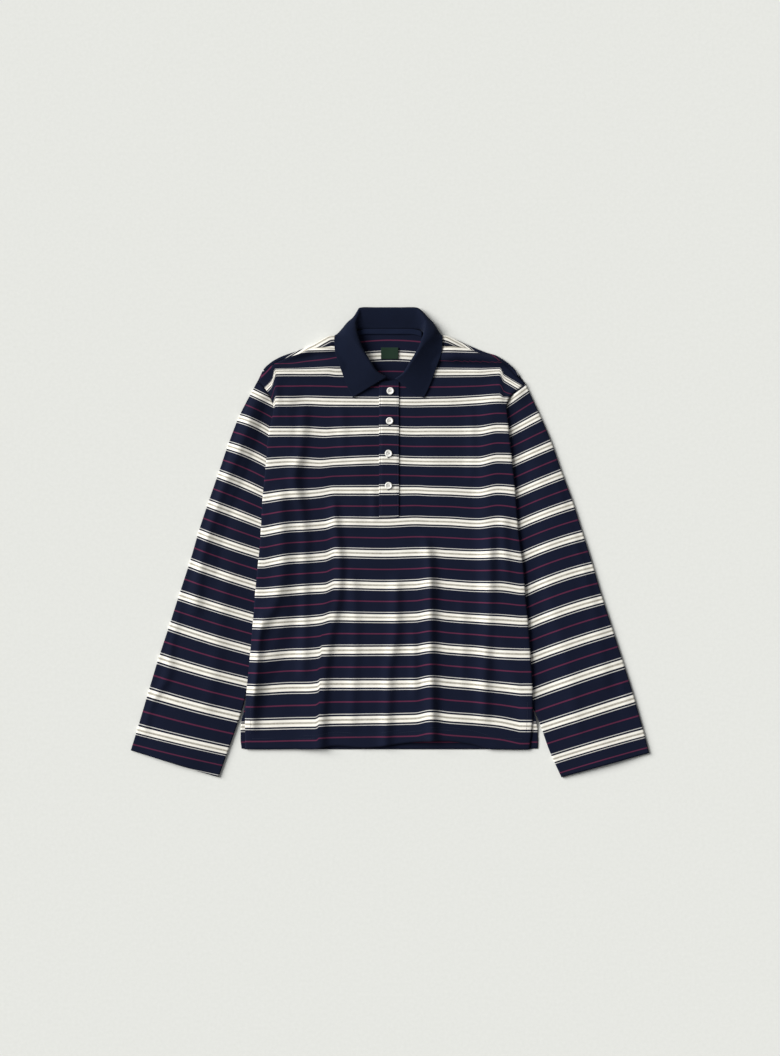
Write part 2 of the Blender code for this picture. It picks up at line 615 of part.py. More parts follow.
build_front(striped_jersey)
build_back(striped_jersey)
build_sleeve("sleeve_left", SLEEVE_LEFT, -1, striped_jersey)
build_sleeve("sleeve_right", SLEEVE_RIGHT, 1, striped_jersey)
build_collar(collar_knit)
build_placket(striped_jersey)
for number, button_place in enumerate(BUTTON_PLACES, start=1):
    build_button(number, button_place, button_plastic)
build_strip("neck_tape", np.linspace(-TAPE_HALF, TAPE_HALF, 9) + COLLAR_MIDDLE,
            (TAPE_HIGH, TAPE_LOW), TAPE_CLOTH, neck_cloth)
build_strip("neck_label", np.linspace(-LABEL_HALF, LABEL_HALF, 4) + LABEL_X,
            (LABEL_HIGH, LABEL_LOW), TAPE_CLOTH, label_cloth)
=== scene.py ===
import math

import bmesh
import bpy
import numpy as np
from mathutils import Matrix, Vector


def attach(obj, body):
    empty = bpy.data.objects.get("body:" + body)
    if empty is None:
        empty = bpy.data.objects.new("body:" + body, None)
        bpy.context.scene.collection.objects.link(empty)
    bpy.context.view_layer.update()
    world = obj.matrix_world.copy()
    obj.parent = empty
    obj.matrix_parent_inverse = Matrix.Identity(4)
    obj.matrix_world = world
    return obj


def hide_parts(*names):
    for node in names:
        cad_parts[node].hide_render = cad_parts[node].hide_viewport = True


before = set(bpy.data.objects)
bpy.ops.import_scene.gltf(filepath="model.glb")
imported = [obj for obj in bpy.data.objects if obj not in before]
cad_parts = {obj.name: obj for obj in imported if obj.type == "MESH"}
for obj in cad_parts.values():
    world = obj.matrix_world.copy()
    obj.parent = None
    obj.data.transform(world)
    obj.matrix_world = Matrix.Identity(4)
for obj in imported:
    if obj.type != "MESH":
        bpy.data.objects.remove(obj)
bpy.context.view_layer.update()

# A long-sleeved striped polo shirt laid flat, face up, seen from straight above.
# The table is z = 0, +X runs to the right sleeve in the picture and +Y to the collar.
# Lengths in the tables are millimetres; MM turns them into metres.

MM = 0.001

# --- Cloth: walls and clear spaces of the solids, then of the shown shells ---
JERSEY, COLLAR_KNIT, PLACKET_CLOTH, TAPE_CLOTH = 1.4, 2.0, 1.8, 1.0
SEAM = 0.45             # clear space where two pieces meet
BODY_AIR = 1.8          # air between front and back, away from the side seams
SIDE_ROLL = 10.0        # width of the rounding at the side seams
FALL_LOW = 0.3          # height of the back fall's underside
SLEEVE_FLAT = 4.2       # height of a sleeve where the body lies on it
SLEEVE_PUFF = 2.6       # what the free part of a sleeve stands higher
SHELL, PLACKET_SHELL = 1.1, 0.9
LAYERS_DEEP = 2.7       # no trough takes a face nearer than this to what lies below

# --- Outline of the body ----------------------------------------------------
# Columns: x, y.
ARMHOLE_LEFT = ((-205, 251), (-197, 241), (-188.5, 231.5), (-182, 217),
                (-175, 207.5), (-166, 199))
ARMHOLE_RIGHT = ((210, 246), (198.5, 236), (187.5, 226.7), (181, 212.3),
                 (174.5, 203.5), (166, 195))
ARMHOLE_SEAM_ROWS = 4
# Columns: y, x.
SIDE_LEFT = ((207, -180.5), (192, -183), (171, -188), (126, -192), (70, -197.5),
             (0, -201.5), (-66, -208), (-128, -213), (-180, -217.5), (-225, -222),
             (-250, -224), (-290, -225), (-321.5, -225))
SIDE_RIGHT = ((202, 181.5), (188, 183), (173, 184.5), (127, 189.5), (77, 194.5),
              (10, 200), (-40, 207), (-80, 210), (-128, 214.5), (-175, 218),
              (-225, 221), (-297, 219.5), (-322, 216.5))
# Columns: y, how much wider the back panel is below the top of a side vent.
VENT_STEP_LEFT = ((-250, 0), (-262, 2), (-275, 5.5), (-290, 7), (-310, 7), (-321.5, 5.5))
VENT_STEP_RIGHT = ((-250, 0), (-262, 1.5), (-275, 5.5), (-290, 9), (-310, 12), (-322, 13))
# Columns: u across the panel, x, y.
FRONT_TOP = ((0.0, -205, 251), (0.03, -194, 264), (0.06, -184.5, 273), (0.10, -170.5, 281.5),
             (0.16, -141.5, 291.5), (0.22, -117, 301), (0.27, -97, 303), (0.31, -82, 306),
             (0.345, -66, 311), (0.37, -61, 298), (0.40, -52, 279), (0.43, -40, 263),
             (0.465, -23, 250.5), (0.50, 0, 244.5), (0.535, 18.5, 250.5), (0.57, 35.5, 263),
             (0.60, 47.5, 279), (0.63, 56, 298), (0.655, 61, 311), (0.69, 80, 304.5),
             (0.74, 99, 303.5), (0.79, 122, 300), (0.84, 142.5, 291), (0.90, 167.5, 282),
             (0.94, 186, 268.5), (0.97, 197, 257), (1.0, 210, 246))
BACK_TOP = ((0.0, -205, 251), (0.03, -196.5, 268), (0.06, -187, 277.5), (0.10, -172.5, 286.5),
            (0.16, -144, 297), (0.22, -119, 307), (0.27, -102, 316), (0.295, -92, 320.3),
            (0.31, -85, 320.2), (0.345, -66, 319), (0.375, -54, 327.5), (0.40, -43, 330.6),
            (0.44, -27, 331), (0.50, -2.5, 331), (0.56, 22, 331), (0.60, 38, 330.6),
            (0.625, 49, 327.5), (0.655, 61, 319), (0.69, 79, 320), (0.71, 86.5, 320.3),
            (0.74, 96, 317), (0.79, 119, 307), (0.84, 145, 296), (0.90, 170, 287),
            (0.94, 189, 273), (0.97, 200, 260), (1.0, 210, 246))
SHOULDER_LEFT_END, SHOULDER_RIGHT_START = 0.345, 0.655
TIP_SHARE = 0.03        # share of the width at a shoulder tip that has no fold over
# Columns: x, y.
FRONT_HEM = ((-225, -321.5), (-160, -321.2), (-112, -320.2), (-90, -316.5), (-30, -319),
             (-11, -316.5), (30, -311), (62, -308.5), (110, -311), (135, -315.5), (150, -320.5),
             (175, -321.8), (216.5, -322))
BACK_HEM = ((-230.5, -320.5), (-215, -321.5), (-150, -321.5), (0, -321.5), (150, -321.5),
            (205, -321.5), (229.5, -320.5))
HEM_Y = -321.5
PANEL_COLUMNS, PANEL_ROWS = 168, 206

# --- Sleeves ----------------------------------------------------------------
# Columns: x and y of the outer edge, x and y of the inner edge, armhole to cuff.
SLEEVE_LEFT = ((-205, 251, -166, 199), (-232, 200, -166, 171), (-250, 155, -163, 119),
               (-265, 111, -162, 68), (-281, 65, -162, 22), (-296, 20, -164, -26),
               (-310, -28, -169, -74), (-327.5, -82, -177, -128), (-343.5, -132, -194, -176),
               (-360, -182, -217, -221), (-375, -232, -232.5, -270),
               (-391, -286, -248.5, -316), (-402.5, -323, -266, -365))
SLEEVE_RIGHT = ((210, 246, 166, 195), (231, 201, 166, 167), (250, 157, 163, 118),
                (266, 111, 162, 67), (283, 65, 162, 19), (298, 18, 164, -29),
                (312, -26, 168, -77), (328, -80, 176, -132), (344, -130, 190, -182),
                (360, -180, 211, -231), (377, -234, 232.5, -282),
                (392, -287, 247.5, -324), (402.5, -327, 266, -365))
SLEEVE_RINGS = 150
SOLID_RINGS = 18        # the first ring's bend runs out over one of these
RING_FACE, RING_FOLD, RING_BACK = 46, 6, 26
ARMHOLE_CLEAR = 0.5     # seam widths between the sleeve's first ring and the body

# --- Collar -----------------------------------------------------------------
COLLAR_MIDDLE = -2.5
# One row for each section, from the back's middle to the front end of one half. Columns:
# x, y and z at the neck seam, x, y and z of the roll's middle, its radius, how far the fall
# runs out over it, the way it faces and its turn in degrees, x, y and z of the fall's edge.
COLLAR_SECTIONS = (
    (0, 332.2, 4.1, 0, 361.1, 4.4, 2.6, 0, 90, 0, 0, 304, 1.3),
    (15, 332.2, 4.1, 20, 361.1, 4.4, 2.6, 0, 90, 0, 18, 304, 1.3),
    (31, 332.2, 4.1, 41.5, 361.0, 4.6, 2.6, 0, 93, 2, 40, 304.5, 1.3),
    (38, 332.2, 4.2, 47.5, 356.6, 6.2, 2.8, 0.6, 115, 18, 60, 307, 1.3),
    (44, 331.8, 4.4, 54.8, 343.3, 9.4, 3.0, 3, 132, 50, 74, 312, 1.3),
    (49.3, 330.6, 4.9, 55.8, 334.0, 12.6, 3.0, 7, 158, 72, 81, 318.5, 1.6),
    (53.8, 327.0, 5.6, 55.2, 326.3, 14.8, 3.0, 9, 174, 96, 82.8, 320.4, 5.0),
    (56.5, 321.0, 6.2, 53.4, 318.5, 16.0, 2.9, 7, 182, 118, 83.8, 317.0, 8.6),
    (57.5, 312.0, 6.2, 50.3, 310.5, 16.4, 2.8, 4, 186, 134, 83.8, 308, 9.0),
    (54.5, 298.5, 6.2, 47.0, 302.0, 16.2, 2.6, 1, 195, 148, 82, 292, 8.6),
    (46.5, 280.5, 6.1, 41.0, 290.5, 15.4, 2.6, 0, 203, 157, 75, 272, 6.8),
    (35.5, 265.0, 5.3, 32.2, 277.0, 14.2, 2.4, 0, 206, 162, 68.5, 254, 6.5),
    (22, 254.0, 4.6, 23.0, 263.5, 12.2, 2.2, 0, 207, 166, 61.5, 237, 6.5),
    (9, 249.5, 4.6, 8.5, 254.5, 9.6, 1.9, 0, 207, 170, 55.0, 224.3, 6.5),
)
COLLAR_STEPS = 118      # sections of one half
STAND_POINTS, ROLL_POINTS, FALL_POINTS = 11, 21, 24
RULER = STAND_POINTS + ROLL_POINTS + 4      # the knit's length is measured along this point
COLLAR_WALL = 1.7
END_SHIFT, ROLL_SHIFT = 4.0, 3.2    # how far the front ends and the roll lie to the right
RUN_FROM, RUN_POWER = 0.35, 1.5     # how the fall runs out over the roll
RIGHT_END_DROP = 2.5    # how much lower the right front end of the roll lies
RIGHT_END_BOW = 3.2     # how far the right fall's front edge bows toward the hem
NECK_TURN_IN = 1.6      # the stand runs this far on below the tape
FALL_UNDER_TO = 5       # the last section whose fall lies under the back panel
FALL_OVER_FROM = 7      # the first section whose fall lies on the front panel

# --- Placket, buttons, tape and label ---------------------------------------
PLACKET_LEFT, PLACKET_RIGHT = -17.0, 14.0
PLACKET_TOP, PLACKET_BOTTOM = 250.5, 39.0
PLACKET_SEWN_TO = 236.0     # the placket's stitching ends here
PLACKET_INSET = 2.4         # of its stitching, from the edge
PLACKET_BOX = 14.0          # height of the stitched box at its foot
BUTTON_PLACES = ((0.5, 234.5), (-0.6, 188.0), (-2.3, 137.6), (-2.3, 87.7))
# Columns: distance from the axis, height.
BUTTON_PROFILE = ((0.0, 1.5), (2.2, 1.5), (3.1, 1.62), (3.55, 1.9), (3.95, 2.25), (4.4, 2.4),
                  (4.9, 2.36), (5.3, 2.1), (5.55, 1.65), (5.6, 1.2), (5.5, 0.8), (5.0, 0.3),
                  (4.2, 0.0), (0.0, 0.0))
BUTTON_STEPS = 48
HOLE_PLACE, HOLE_RADIUS = 1.05, 0.62    # of the four holes, from the axis in x and y
HEM_ROWS = (17.0, 21.5)     # stitching above the hems and the cuffs
HEM_STITCH_X = (-214, 206)
VENT_STITCH_Y, VENT_INSET = (-298, -246), 8.5
TAPE_HALF, TAPE_LOW, TAPE_HIGH = 45.0, 322.7, 330.6
TAPE_RUN_ON, TAPE_DROOP = 7.0, 0.014    # the shown tape follows the neckline this much farther
LABEL_HALF, LABEL_LOW, LABEL_HIGH, LABEL_X = 13.5, 284.0, 302.0, -0.5

# --- Folds ------------------------------------------------------------------
# Columns: x and y of the upper end, x and y of the lower end, sideways bow,
# width to the left, width to the right, height.
FRONT_FOLDS = (
    (-81, -10, -116, -330, -11, 20, 10, 3.4),
    (60, 20, 64, -330, 2, 22, 9, 3.8),
    (-45, 190, -60, 20, 4, 18, 18, 1.3),
    (60, 180, 80, 40, -4, 18, 18, 1.2),
)
# Narrow folds that follow a path down the cloth, in chart units. Columns: height,
# width to the left, width to the right, then x and y of the path's points.
FRONT_PATHS = (
    (5.0, 13, 11, (280, 480), (281, 513), (282, 543), (282, 570), (275, 603), (257, 637),
     (254, 670), (252, 700), (250, 740)),
    (3.4, 8, 11, (262, 600), (256, 640), (254, 670), (251, 712)),
    (2.6, 8, 8, (276, 372), (275, 395), (275, 425)),
    (1.6, 3.5, 14, (276.5, 362), (275.8, 380), (277, 412)),
    (3.9, 9, 9.5, (304, 395), (303, 430), (301, 450), (295, 477), (302, 510), (305, 543),
     (304, 570), (304, 603), (304, 640), (302, 690)),
    (4.4, 9, 7.5, (333, 490), (335, 520), (338, 545), (340, 570), (337, 603), (331, 633),
     (325.5, 670), (323.5, 700), (321, 770)),
    (2.6, 6, 6, (372, 480), (374, 500), (374, 530)),
    (2.6, 9, 9, (351, 560), (355, 620), (353, 690), (351, 740)),
    (4.4, 9, 8.5, (396, 570), (396, 603), (395, 637), (389, 667), (388, 700), (384, 770)),
    (2.4, 7, 6, (413, 620), (414, 665), (415, 710)),
    (4.4, 8, 8, (424, 530), (429, 560), (430, 603), (430, 650), (431.5, 700), (432, 770)),
    (4.8, 11, 10, (490, 520), (489, 570), (488, 603), (487, 637), (485, 670), (484, 730)),
    (2.6, 8, 8, (504, 505), (504, 540), (508, 590)),
    (1.8, 14, 3, (499.5, 362), (500.5, 385), (503, 405), (507, 425)),
    (1.6, 8, 8, (462, 590), (463, 640), (461, 700)),
    (1.6, 9, 8, (340, 395), (343, 430), (341, 470)),
    (1.4, 9, 8, (470, 400), (473, 440), (471, 490)),
)
# The same, across the cloth: width above, width below; x and y as before.
FRONT_CROSS_PATHS = (
    (-3.0, 4, 8, (272, 363), (296, 359), (312, 356), (330, 355.3), (362, 355)),
    (3.4, 4, 5, (278, 359.5), (296, 354.5), (312, 350.5), (326, 349.5), (341, 349)),
    (1.2, 5, 10, (262, 369), (285, 367.5), (312, 368.5), (345, 370)),
    (-3.8, 4, 5, (416, 363), (455, 364), (478, 364.6), (497, 365.5), (518, 371)),
    (6.2, 9, 7, (434, 355.5), (462, 357), (482, 358.3), (498, 361.5), (518, 369)),
    (1.4, 5, 12, (436, 372), (465, 372), (495, 371)),
)
# The same, down the faces of the sleeves; -1 is the left one in the picture.
SLEEVE_PATHS = {
    -1: ((5.0, 13, 10, (257, 388), (252, 407), (243, 437), (231.5, 467), (221, 493),
          (212, 520), (203.5, 550), (198, 583), (194, 625)),
         (-2.4, 7, 16, (268, 392), (260, 432), (249, 467), (239, 493), (229, 520), (221, 550),
          (216, 590)),
         (3.2, 10, 8, (181, 585), (177, 610), (170, 643), (167, 677), (148, 707), (141, 745)),
         (2.0, 12, 12, (232, 560), (222, 610), (215, 660), (206, 720))),
    1: ((-3.4, 11, 22, (515.5, 392), (517.5, 432), (520.5, 470), (524.5, 513), (527.5, 545),
         (531, 580), (534, 620), (537.5, 660), (539, 712)),
        (1.5, 12, 10, (536, 400), (556, 460), (568, 520)),
        (1.8, 12, 10, (570, 520), (588, 580), (600, 640), (607, 700)),
        (1.5, 10, 10, (540, 560), (556, 620), (572, 690), (582, 750)),
        (1.2, 10, 8, (600, 600), (618, 660), (634, 720))),
}
PATH_END_RUN = 22.0     # chart length over which a narrow fold fades at its ends
HEM_LIFT, HEM_LIFT_X, HEM_LIFT_SPAN, HEM_LIFT_RUN = 3.2, 62.0, 48.0, 70.0
QUIET_RUN = 16.0        # the relief fades out over this width at the side seams
# How the body rises over the sleeves' inner margins and over the collar's back fall.
SLEEVE_MARGIN, SLEEVE_RAMP = 6.0, 30.0
SLEEVE_RISE_TOP, SLEEVE_RISE_TOP_RUN = 252.0, 28.0
SLEEVE_RISE_END, SLEEVE_RISE_END_RUN = -302.0, 36.0
SLEEVE_ROWS_BELOW_BODY = 11
FALL_RISE_START, FALL_RISE_RUN = 256.0, 24.0
FALL_RISE_HALF, FALL_RISE_RAMP = 90.0, 30.0

# --- Stripes ----------------------------------------------------------------
# The chart of the stripes is drawn in units of 1.55 mm from the picture's corner.
UNIT, CHART_X, CHART_Y = 1.55, 390.0, 542.2
PERIOD = 47.0           # from one cream band to the next, along the cloth
# Chart x of the columns; the two between None marks stand beside the long fold.
FRONT_CHART_X = (264, 290, 307, None, None, 385, 415, 431, 448, 478, 498, 520)
# Chart y, then chart x of the left and right ends of the step at the long fold.
FRONT_STEPS = ((340, 328, 337), (430, 326, 336), (463, 320, 334), (494, 320, 334),
               (526, 325, 336), (590, 325, 335), (619, 321.5, 331), (646, 320.7, 322.0),
               (686, 318.1, 319.3), (722, 316.7, 317.9), (760, 315.7, 316.9))
# Columns: number of the stripe, then its chart y at each column of FRONT_CHART_X.
# Whole numbers are the middles of cream bands, halves are red lines. A crease along
# the right shoulder hides most of the line at -0.5.
FRONT_STRIPES = (
    (-1.0, 355, 351.2, 347.6, 347.9, 348.2, 347, 348.0, 347.9, 346.9, 347.6, 353.5, 357),
    (-0.56, 362.8, 362.1, 359.6, 357.5, 355.9, 356.0, 357.1, 359.4, 360.6, 361.3, 362.0, 361.4),
    (-0.44, 364.7, 364.2, 362.4, 360.3, 358.8, 358.8, 359.7, 360.8, 361.0, 361.7, 362.4, 362.9),
    (0, 371.2, 370.7, 370.9, 370.7, 371.6, 372, 372, 372, 372, 372, 370.6, 370),
    (1, 401.5, 401.4, 400.6, 401.2, 401.4, 401.9, 402.2, 401.8, 401.5, 399.8, 398.6, 399),
    (2, 431.4, 431.4, 431.5, 432.5, 431.9, 430.6, 431.5, 431.3, 431.3, 431.0, 428.0, 428.9),
    (3, 463.4, 461.8, 462.5, 463.3, 462.1, 460.1, 461.3, 461.6, 461.6, 461.7, 458.0, 458.6),
    (4, 497.8, 494.3, 493.6, 492.3, 490.2, 490.3, 490.1, 490.9, 491.3, 492.6, 489.4, 491.4),
    (5, 531.4, 527.0, 526.1, 524.6, 521.8, 522.3, 520.9, 521.4, 521.8, 523.6, 521.3, 524.6),
    (6, 563.4, 558.6, 557.7, 556.0, 552.6, 553.5, 552.7, 552.5, 553.6, 554.6, 553.8, 556.9),
    (7, 592.4, 590.4, 589.0, 588.1, 584.4, 585.4, 584.7, 582.8, 584.5, 586.5, 586.6, 589.4),
    (8, 623.6, 621.8, 621.0, 619.5, 616.8, 617.6, 617.0, 614.6, 616.5, 618.6, 619.6, 621.2),
    (9, 656.4, 654.2, 653.7, 652.4, 650.6, 650.1, 649.6, 647.3, 649.1, 651.2, 653.3, 654.1),
    (10, 689.4, 687.9, 687.7, 686.5, 684.1, 684.1, 683.8, 680.9, 682.6, 685.1, 687.4, 689.5),
    (11, 724.2, 723.5, 723.1, 722.8, 720.7, 719.4, 718.6, 715.6, 717.7, 719.9, 721.9, 726.3),
)
FRONT_PERIOD_BELOW = 35.0
# Where the stripes step down beside the sides of the front. Columns: side, chart x, slant,
# height of the tuck, then the chart y where it has faded out and the run of the fade.
FRONT_TUCKS = ((-1, 273.6, 1.0, 9.5, 412.0, 12.0), (1, 501.8, 0.62, 5.5, 400.0, 8.0))
TUCK_Y = 364.0
# The fold over each shoulder. Columns: side, x of its inner end, slant, x run that is even.
SHOULDER_SLANTS = ((-1, -84.0, 0.03, 42.0), (1, 79.0, 0.15, 35.0))
BACK_FIRST, BACK_PERIOD = 355.5, 30.96
BACK_NAVY_TOP = -0.7    # above this stripe number the back of the neck is plain
PLACKET_SHIFT = 0.8
# Columns: chart x and y where a cream band meets the outer edge, then the inner
# edge, and how far its middle bows toward the cuff.
SLEEVE_LEFT_STRIPES = (
    (250.6, 391.5, 272.7, 402.2, 0.0), (237.9, 417.6, 269.3, 431.7, -1.5),
    (227.8, 445.8, 266.0, 461.8, -1.3), (217.8, 473.9, 263.3, 493.3, -0.7),
    (207.7, 503.3, 260.6, 523.4, -0.2), (198.3, 532.8, 258.6, 553.6, 0.7),
    (189.0, 562.9, 255.7, 585.7, 0.6), (178.7, 595.2, 252.8, 618.0, 0.2),
    (169.1, 625.3, 250.6, 650.2, 0.9), (158.9, 658.3, 246.9, 682.5, 0.8),
    (147.9, 692.8, 239.6, 717.0, 0.9), (137.6, 730.2, 227.8, 751.4, 0.4))
SLEEVE_RIGHT_STRIPES = (
    (526.9, 388.2, 506.8, 402.9, 0.0), (540.3, 415.6, 510.1, 431.7, 0.0),
    (552.3, 444.4, 512.8, 461.8, -0.2), (563.0, 473.9, 516.2, 493.3, -0.5),
    (573.7, 504.0, 518.8, 524.8, -1.0), (583.1, 535.5, 522.2, 556.9, -1.6),
    (593.7, 567.3, 526.2, 590.8, -2.2), (604.0, 598.9, 528.4, 624.5, -1.9),
    (613.5, 630.4, 531.3, 658.3, -1.1), (623.8, 662.7, 534.3, 693.5, -0.9),
    (634.0, 698.6, 540.1, 728.7, -0.3), (644.3, 733.1, 553.3, 759.5, -0.8))
SLEEVE_LENGTH = 590.0


# --- Curves -----------------------------------------------------------------

def smoothstep(t):
    """0 below t = 0, 1 above t = 1, smooth between."""
    t = np.clip(t, 0.0, 1.0)
    return t * t * (3.0 - 2.0 * t)


def smooth_through(knots, values, at, level=False):
    """The smooth curve through table rows, read at the given places.

    A level curve never swings past its table rows.
    """
    knots = np.asarray(knots, float)
    values = np.asarray(values, float)
    at = np.asarray(at, float)
    slopes = np.gradient(values, knots, axis=0)
    if level:
        rise = np.diff(values) / np.diff(knots)
        before, after = rise[:-1], rise[1:]
        same = before * after > 0
        both = np.where(same, before + after, 1.0)
        slopes[1:-1] = np.where(same, 2 * before * after / both, 0.0)
    row = np.clip(np.searchsorted(knots, at, side="right") - 1, 0, len(knots) - 2)
    span = knots[row + 1] - knots[row]
    t = np.clip((at - knots[row]) / span, 0.0, 1.0)
    if values.ndim > 1:
        span, t = span[..., None], t[..., None]
    start = (2 * t ** 3 - 3 * t ** 2 + 1) * values[row]
    end = (3 * t ** 2 - 2 * t ** 3) * values[row + 1]
    leave = (t ** 3 - 2 * t ** 2 + t) * span * slopes[row]
    arrive = (t ** 3 - t ** 2) * span * slopes[row + 1]
    return start + end + leave + arrive


def run_lengths(path):
    """Length from the start of a path to each of its points."""
    return np.insert(np.cumsum(np.hypot(*np.diff(path, axis=0).T)), 0, 0.0)


def lattice_noise(x, y, cell_x, cell_y, seed):
    """Smooth noise between -1 and 1 with cells of the given size."""
    size = 96
    table = np.random.RandomState(seed).uniform(-1.0, 1.0, (size, size))
    gx, gy = np.asarray(x) / cell_x + 400.0, np.asarray(y) / cell_y + 400.0
    ix, iy = np.floor(gx).astype(int), np.floor(gy).astype(int)
    tx, ty = smoothstep(gx - ix), smoothstep(gy - iy)
    a, b = table[iy % size, ix % size], table[iy % size, (ix + 1) % size]
    c, d = table[(iy + 1) % size, ix % size], table[(iy + 1) % size, (ix + 1) % size]
    return (a * (1 - tx) + b * tx) * (1 - ty) + (c * (1 - tx) + d * tx) * ty


# --- Outline functions ------------------------------------------------------

def side_table(armhole, side):
    """y falling, x: the body's whole side, armhole seam and side seam."""
    seam = [(y, x) for x, y in armhole[:ARMHOLE_SEAM_ROWS]]
    return np.array(seam + list(side), float)


LEFT_TABLE = side_table(ARMHOLE_LEFT, SIDE_LEFT)
RIGHT_TABLE = side_table(ARMHOLE_RIGHT, SIDE_RIGHT)


def side_x(table, y):
    """x of the front panel's side at height y."""
    return smooth_through(-table[:, 0], table[:, 1], -np.asarray(y, float))


def vent_step(table, y):
    """How far the back panel reaches past the front at height y."""
    table = np.array(table, float)
    return np.interp(-np.asarray(y, float), -table[:, 0], table[:, 1])


def panel_plan(u, v, top, hem, step_left=None, step_right=None):
    """x, y of a body panel between its top edge, its hem and its two sides."""
    u, v = np.meshgrid(u, v)
    top = np.array(top, float)
    y_left = LEFT_TABLE[0, 0] + (LEFT_TABLE[-1, 0] - LEFT_TABLE[0, 0]) * v
    y_right = RIGHT_TABLE[0, 0] + (RIGHT_TABLE[-1, 0] - RIGHT_TABLE[0, 0]) * v
    x_left = side_x(LEFT_TABLE, y_left)
    x_right = side_x(RIGHT_TABLE, y_right)
    if step_left is not None:
        x_left = x_left - vent_step(step_left, y_left)
        x_right = x_right + vent_step(step_right, y_right)

    def across(left, right):
        return left + (right - left) * u

    top_xy = smooth_through(top[:, 0], top[:, 1:], u)
    hem = np.array(hem, float)
    hem_y = smooth_through(hem[:, 0], hem[:, 1], across(x_left[-1, 0], x_right[-1, 0]))
    off_x = top_xy[..., 0] - across(x_left[0, 0], x_right[0, 0])
    off_y = top_xy[..., 1] - across(y_left[0, 0], y_right[0, 0])
    hem_off = hem_y - across(y_left[-1, 0], y_right[-1, 0])
    x = across(x_left, x_right) + (1 - v) * off_x
    y = across(y_left, y_right) + (1 - v) * off_y + v * hem_off
    return x, y


def from_side(x, y):
    """How far inside the nearer side of the front a place is."""
    return np.minimum(x - side_x(LEFT_TABLE, y), side_x(RIGHT_TABLE, y) - x)


# --- Height functions -------------------------------------------------------

def rise_over_sleeve(x, y, sleeve, sign):
    """How far the body is lifted by the sleeve's inner margin below it."""
    inner = np.array([row[2:] for row in sleeve[:SLEEVE_ROWS_BELOW_BODY]], float)
    inner_x = np.interp(-y, -inner[:, 1], inner[:, 0])
    depth = sign * (inner_x - x)
    across = 1.0 - smoothstep((depth - SLEEVE_MARGIN) / SLEEVE_RAMP)
    top = smoothstep((SLEEVE_RISE_TOP - y) / SLEEVE_RISE_TOP_RUN)
    end = smoothstep((y - SLEEVE_RISE_END) / SLEEVE_RISE_END_RUN)
    return (SLEEVE_FLAT + SEAM) * across * top * end


def rise_over_fall(x, y):
    """How far the back panel is lifted by the collar's back fall below it."""
    up = smoothstep((y - FALL_RISE_START) / FALL_RISE_RUN)
    across = 1.0 - smoothstep((np.abs(x - COLLAR_MIDDLE) - FALL_RISE_HALF) / FALL_RISE_RAMP)
    return (COLLAR_KNIT + FALL_LOW + SEAM) * up * across


def back_bottom(x, y):
    """Height of the back panel's underside."""
    sleeves = rise_over_sleeve(x, y, SLEEVE_LEFT, -1) + rise_over_sleeve(x, y, SLEEVE_RIGHT, 1)
    return sleeves + rise_over_fall(x, y)


def side_round(x, y):
    """0 at the side seams, 1 inside the panel, round between."""
    t = np.clip(from_side(x, y) / SIDE_ROLL, 0.0, 1.0)
    return np.sqrt(np.clip(1.0 - (1.0 - t) ** 2, 0.0, 1.0))


def fold_height(x, y, fold):
    """Height of one long soft fold, a ridge or a trough."""
    x_up, y_up, x_low, y_low, bow, width_left, width_right, height = fold
    run = math.hypot(x_low - x_up, y_low - y_up)
    along_x, along_y = (x_low - x_up) / run, (y_low - y_up) / run
    s = ((x - x_up) * along_x + (y - y_up) * along_y) / run
    off = (x - x_up) * -along_y + (y - y_up) * along_x - bow * 4 * s * (1 - s)
    width = np.where(off < 0, width_left, width_right)
    ends = smoothstep(s / 0.25) * smoothstep((1.0 - s) / 0.04 + 0.5)
    return height * np.exp(-(off / width) ** 2) * ends


def path_fold(cx, cy, fold, down=True):
    """Height of one narrow fold along its path."""
    height, width_before, width_after = fold[:3]
    path = np.array(fold[3:], float)
    if not down:
        cx, cy, path = cy, cx, path[:, ::-1]
    first, last = path[0, 1], path[-1, 1]
    ends = smoothstep((cy - first) / PATH_END_RUN) * smoothstep((last - cy) / PATH_END_RUN)
    off = (cx - smooth_through(path[:, 1], path[:, 0], np.clip(cy, first, last))) * UNIT
    return height * np.exp(-(off / np.where(off < 0, width_before, width_after)) ** 2) * ends


def front_top(x, y):
    """Height of the front panel's face."""
    folds = sum(fold_height(x, y, fold) for fold in FRONT_FOLDS)
    lift = HEM_LIFT * np.exp(-((x - HEM_LIFT_X) / HEM_LIFT_SPAN) ** 2)
    lift = lift * smoothstep((HEM_Y + HEM_LIFT_RUN - y) / HEM_LIFT_RUN)
    roll = side_round(x, y)
    return back_bottom(x, y) + 2 * JERSEY + SEAM + (BODY_AIR - SEAM + folds + lift) * roll


# --- Stripe functions -------------------------------------------------------

def to_chart(x, y):
    """Chart coordinates of a place on the table."""
    return np.asarray(x) / UNIT + CHART_X, CHART_Y - np.asarray(y) / UNIT


def between_lines(y, lines, numbers, below):
    """The stripe number at chart y between lines that run across the cloth."""
    number = numbers[0] + (y - lines[0]) / (lines[1] - lines[0]) * (numbers[1] - numbers[0])
    for k in range(len(lines) - 1):
        share = (y - lines[k]) / (lines[k + 1] - lines[k])
        value = numbers[k] + share * (numbers[k + 1] - numbers[k])
        number = np.where(y >= lines[k], value, number)
    last = numbers[-1] + (y - lines[-1]) / below
    return np.where(y >= lines[-1], last, number)


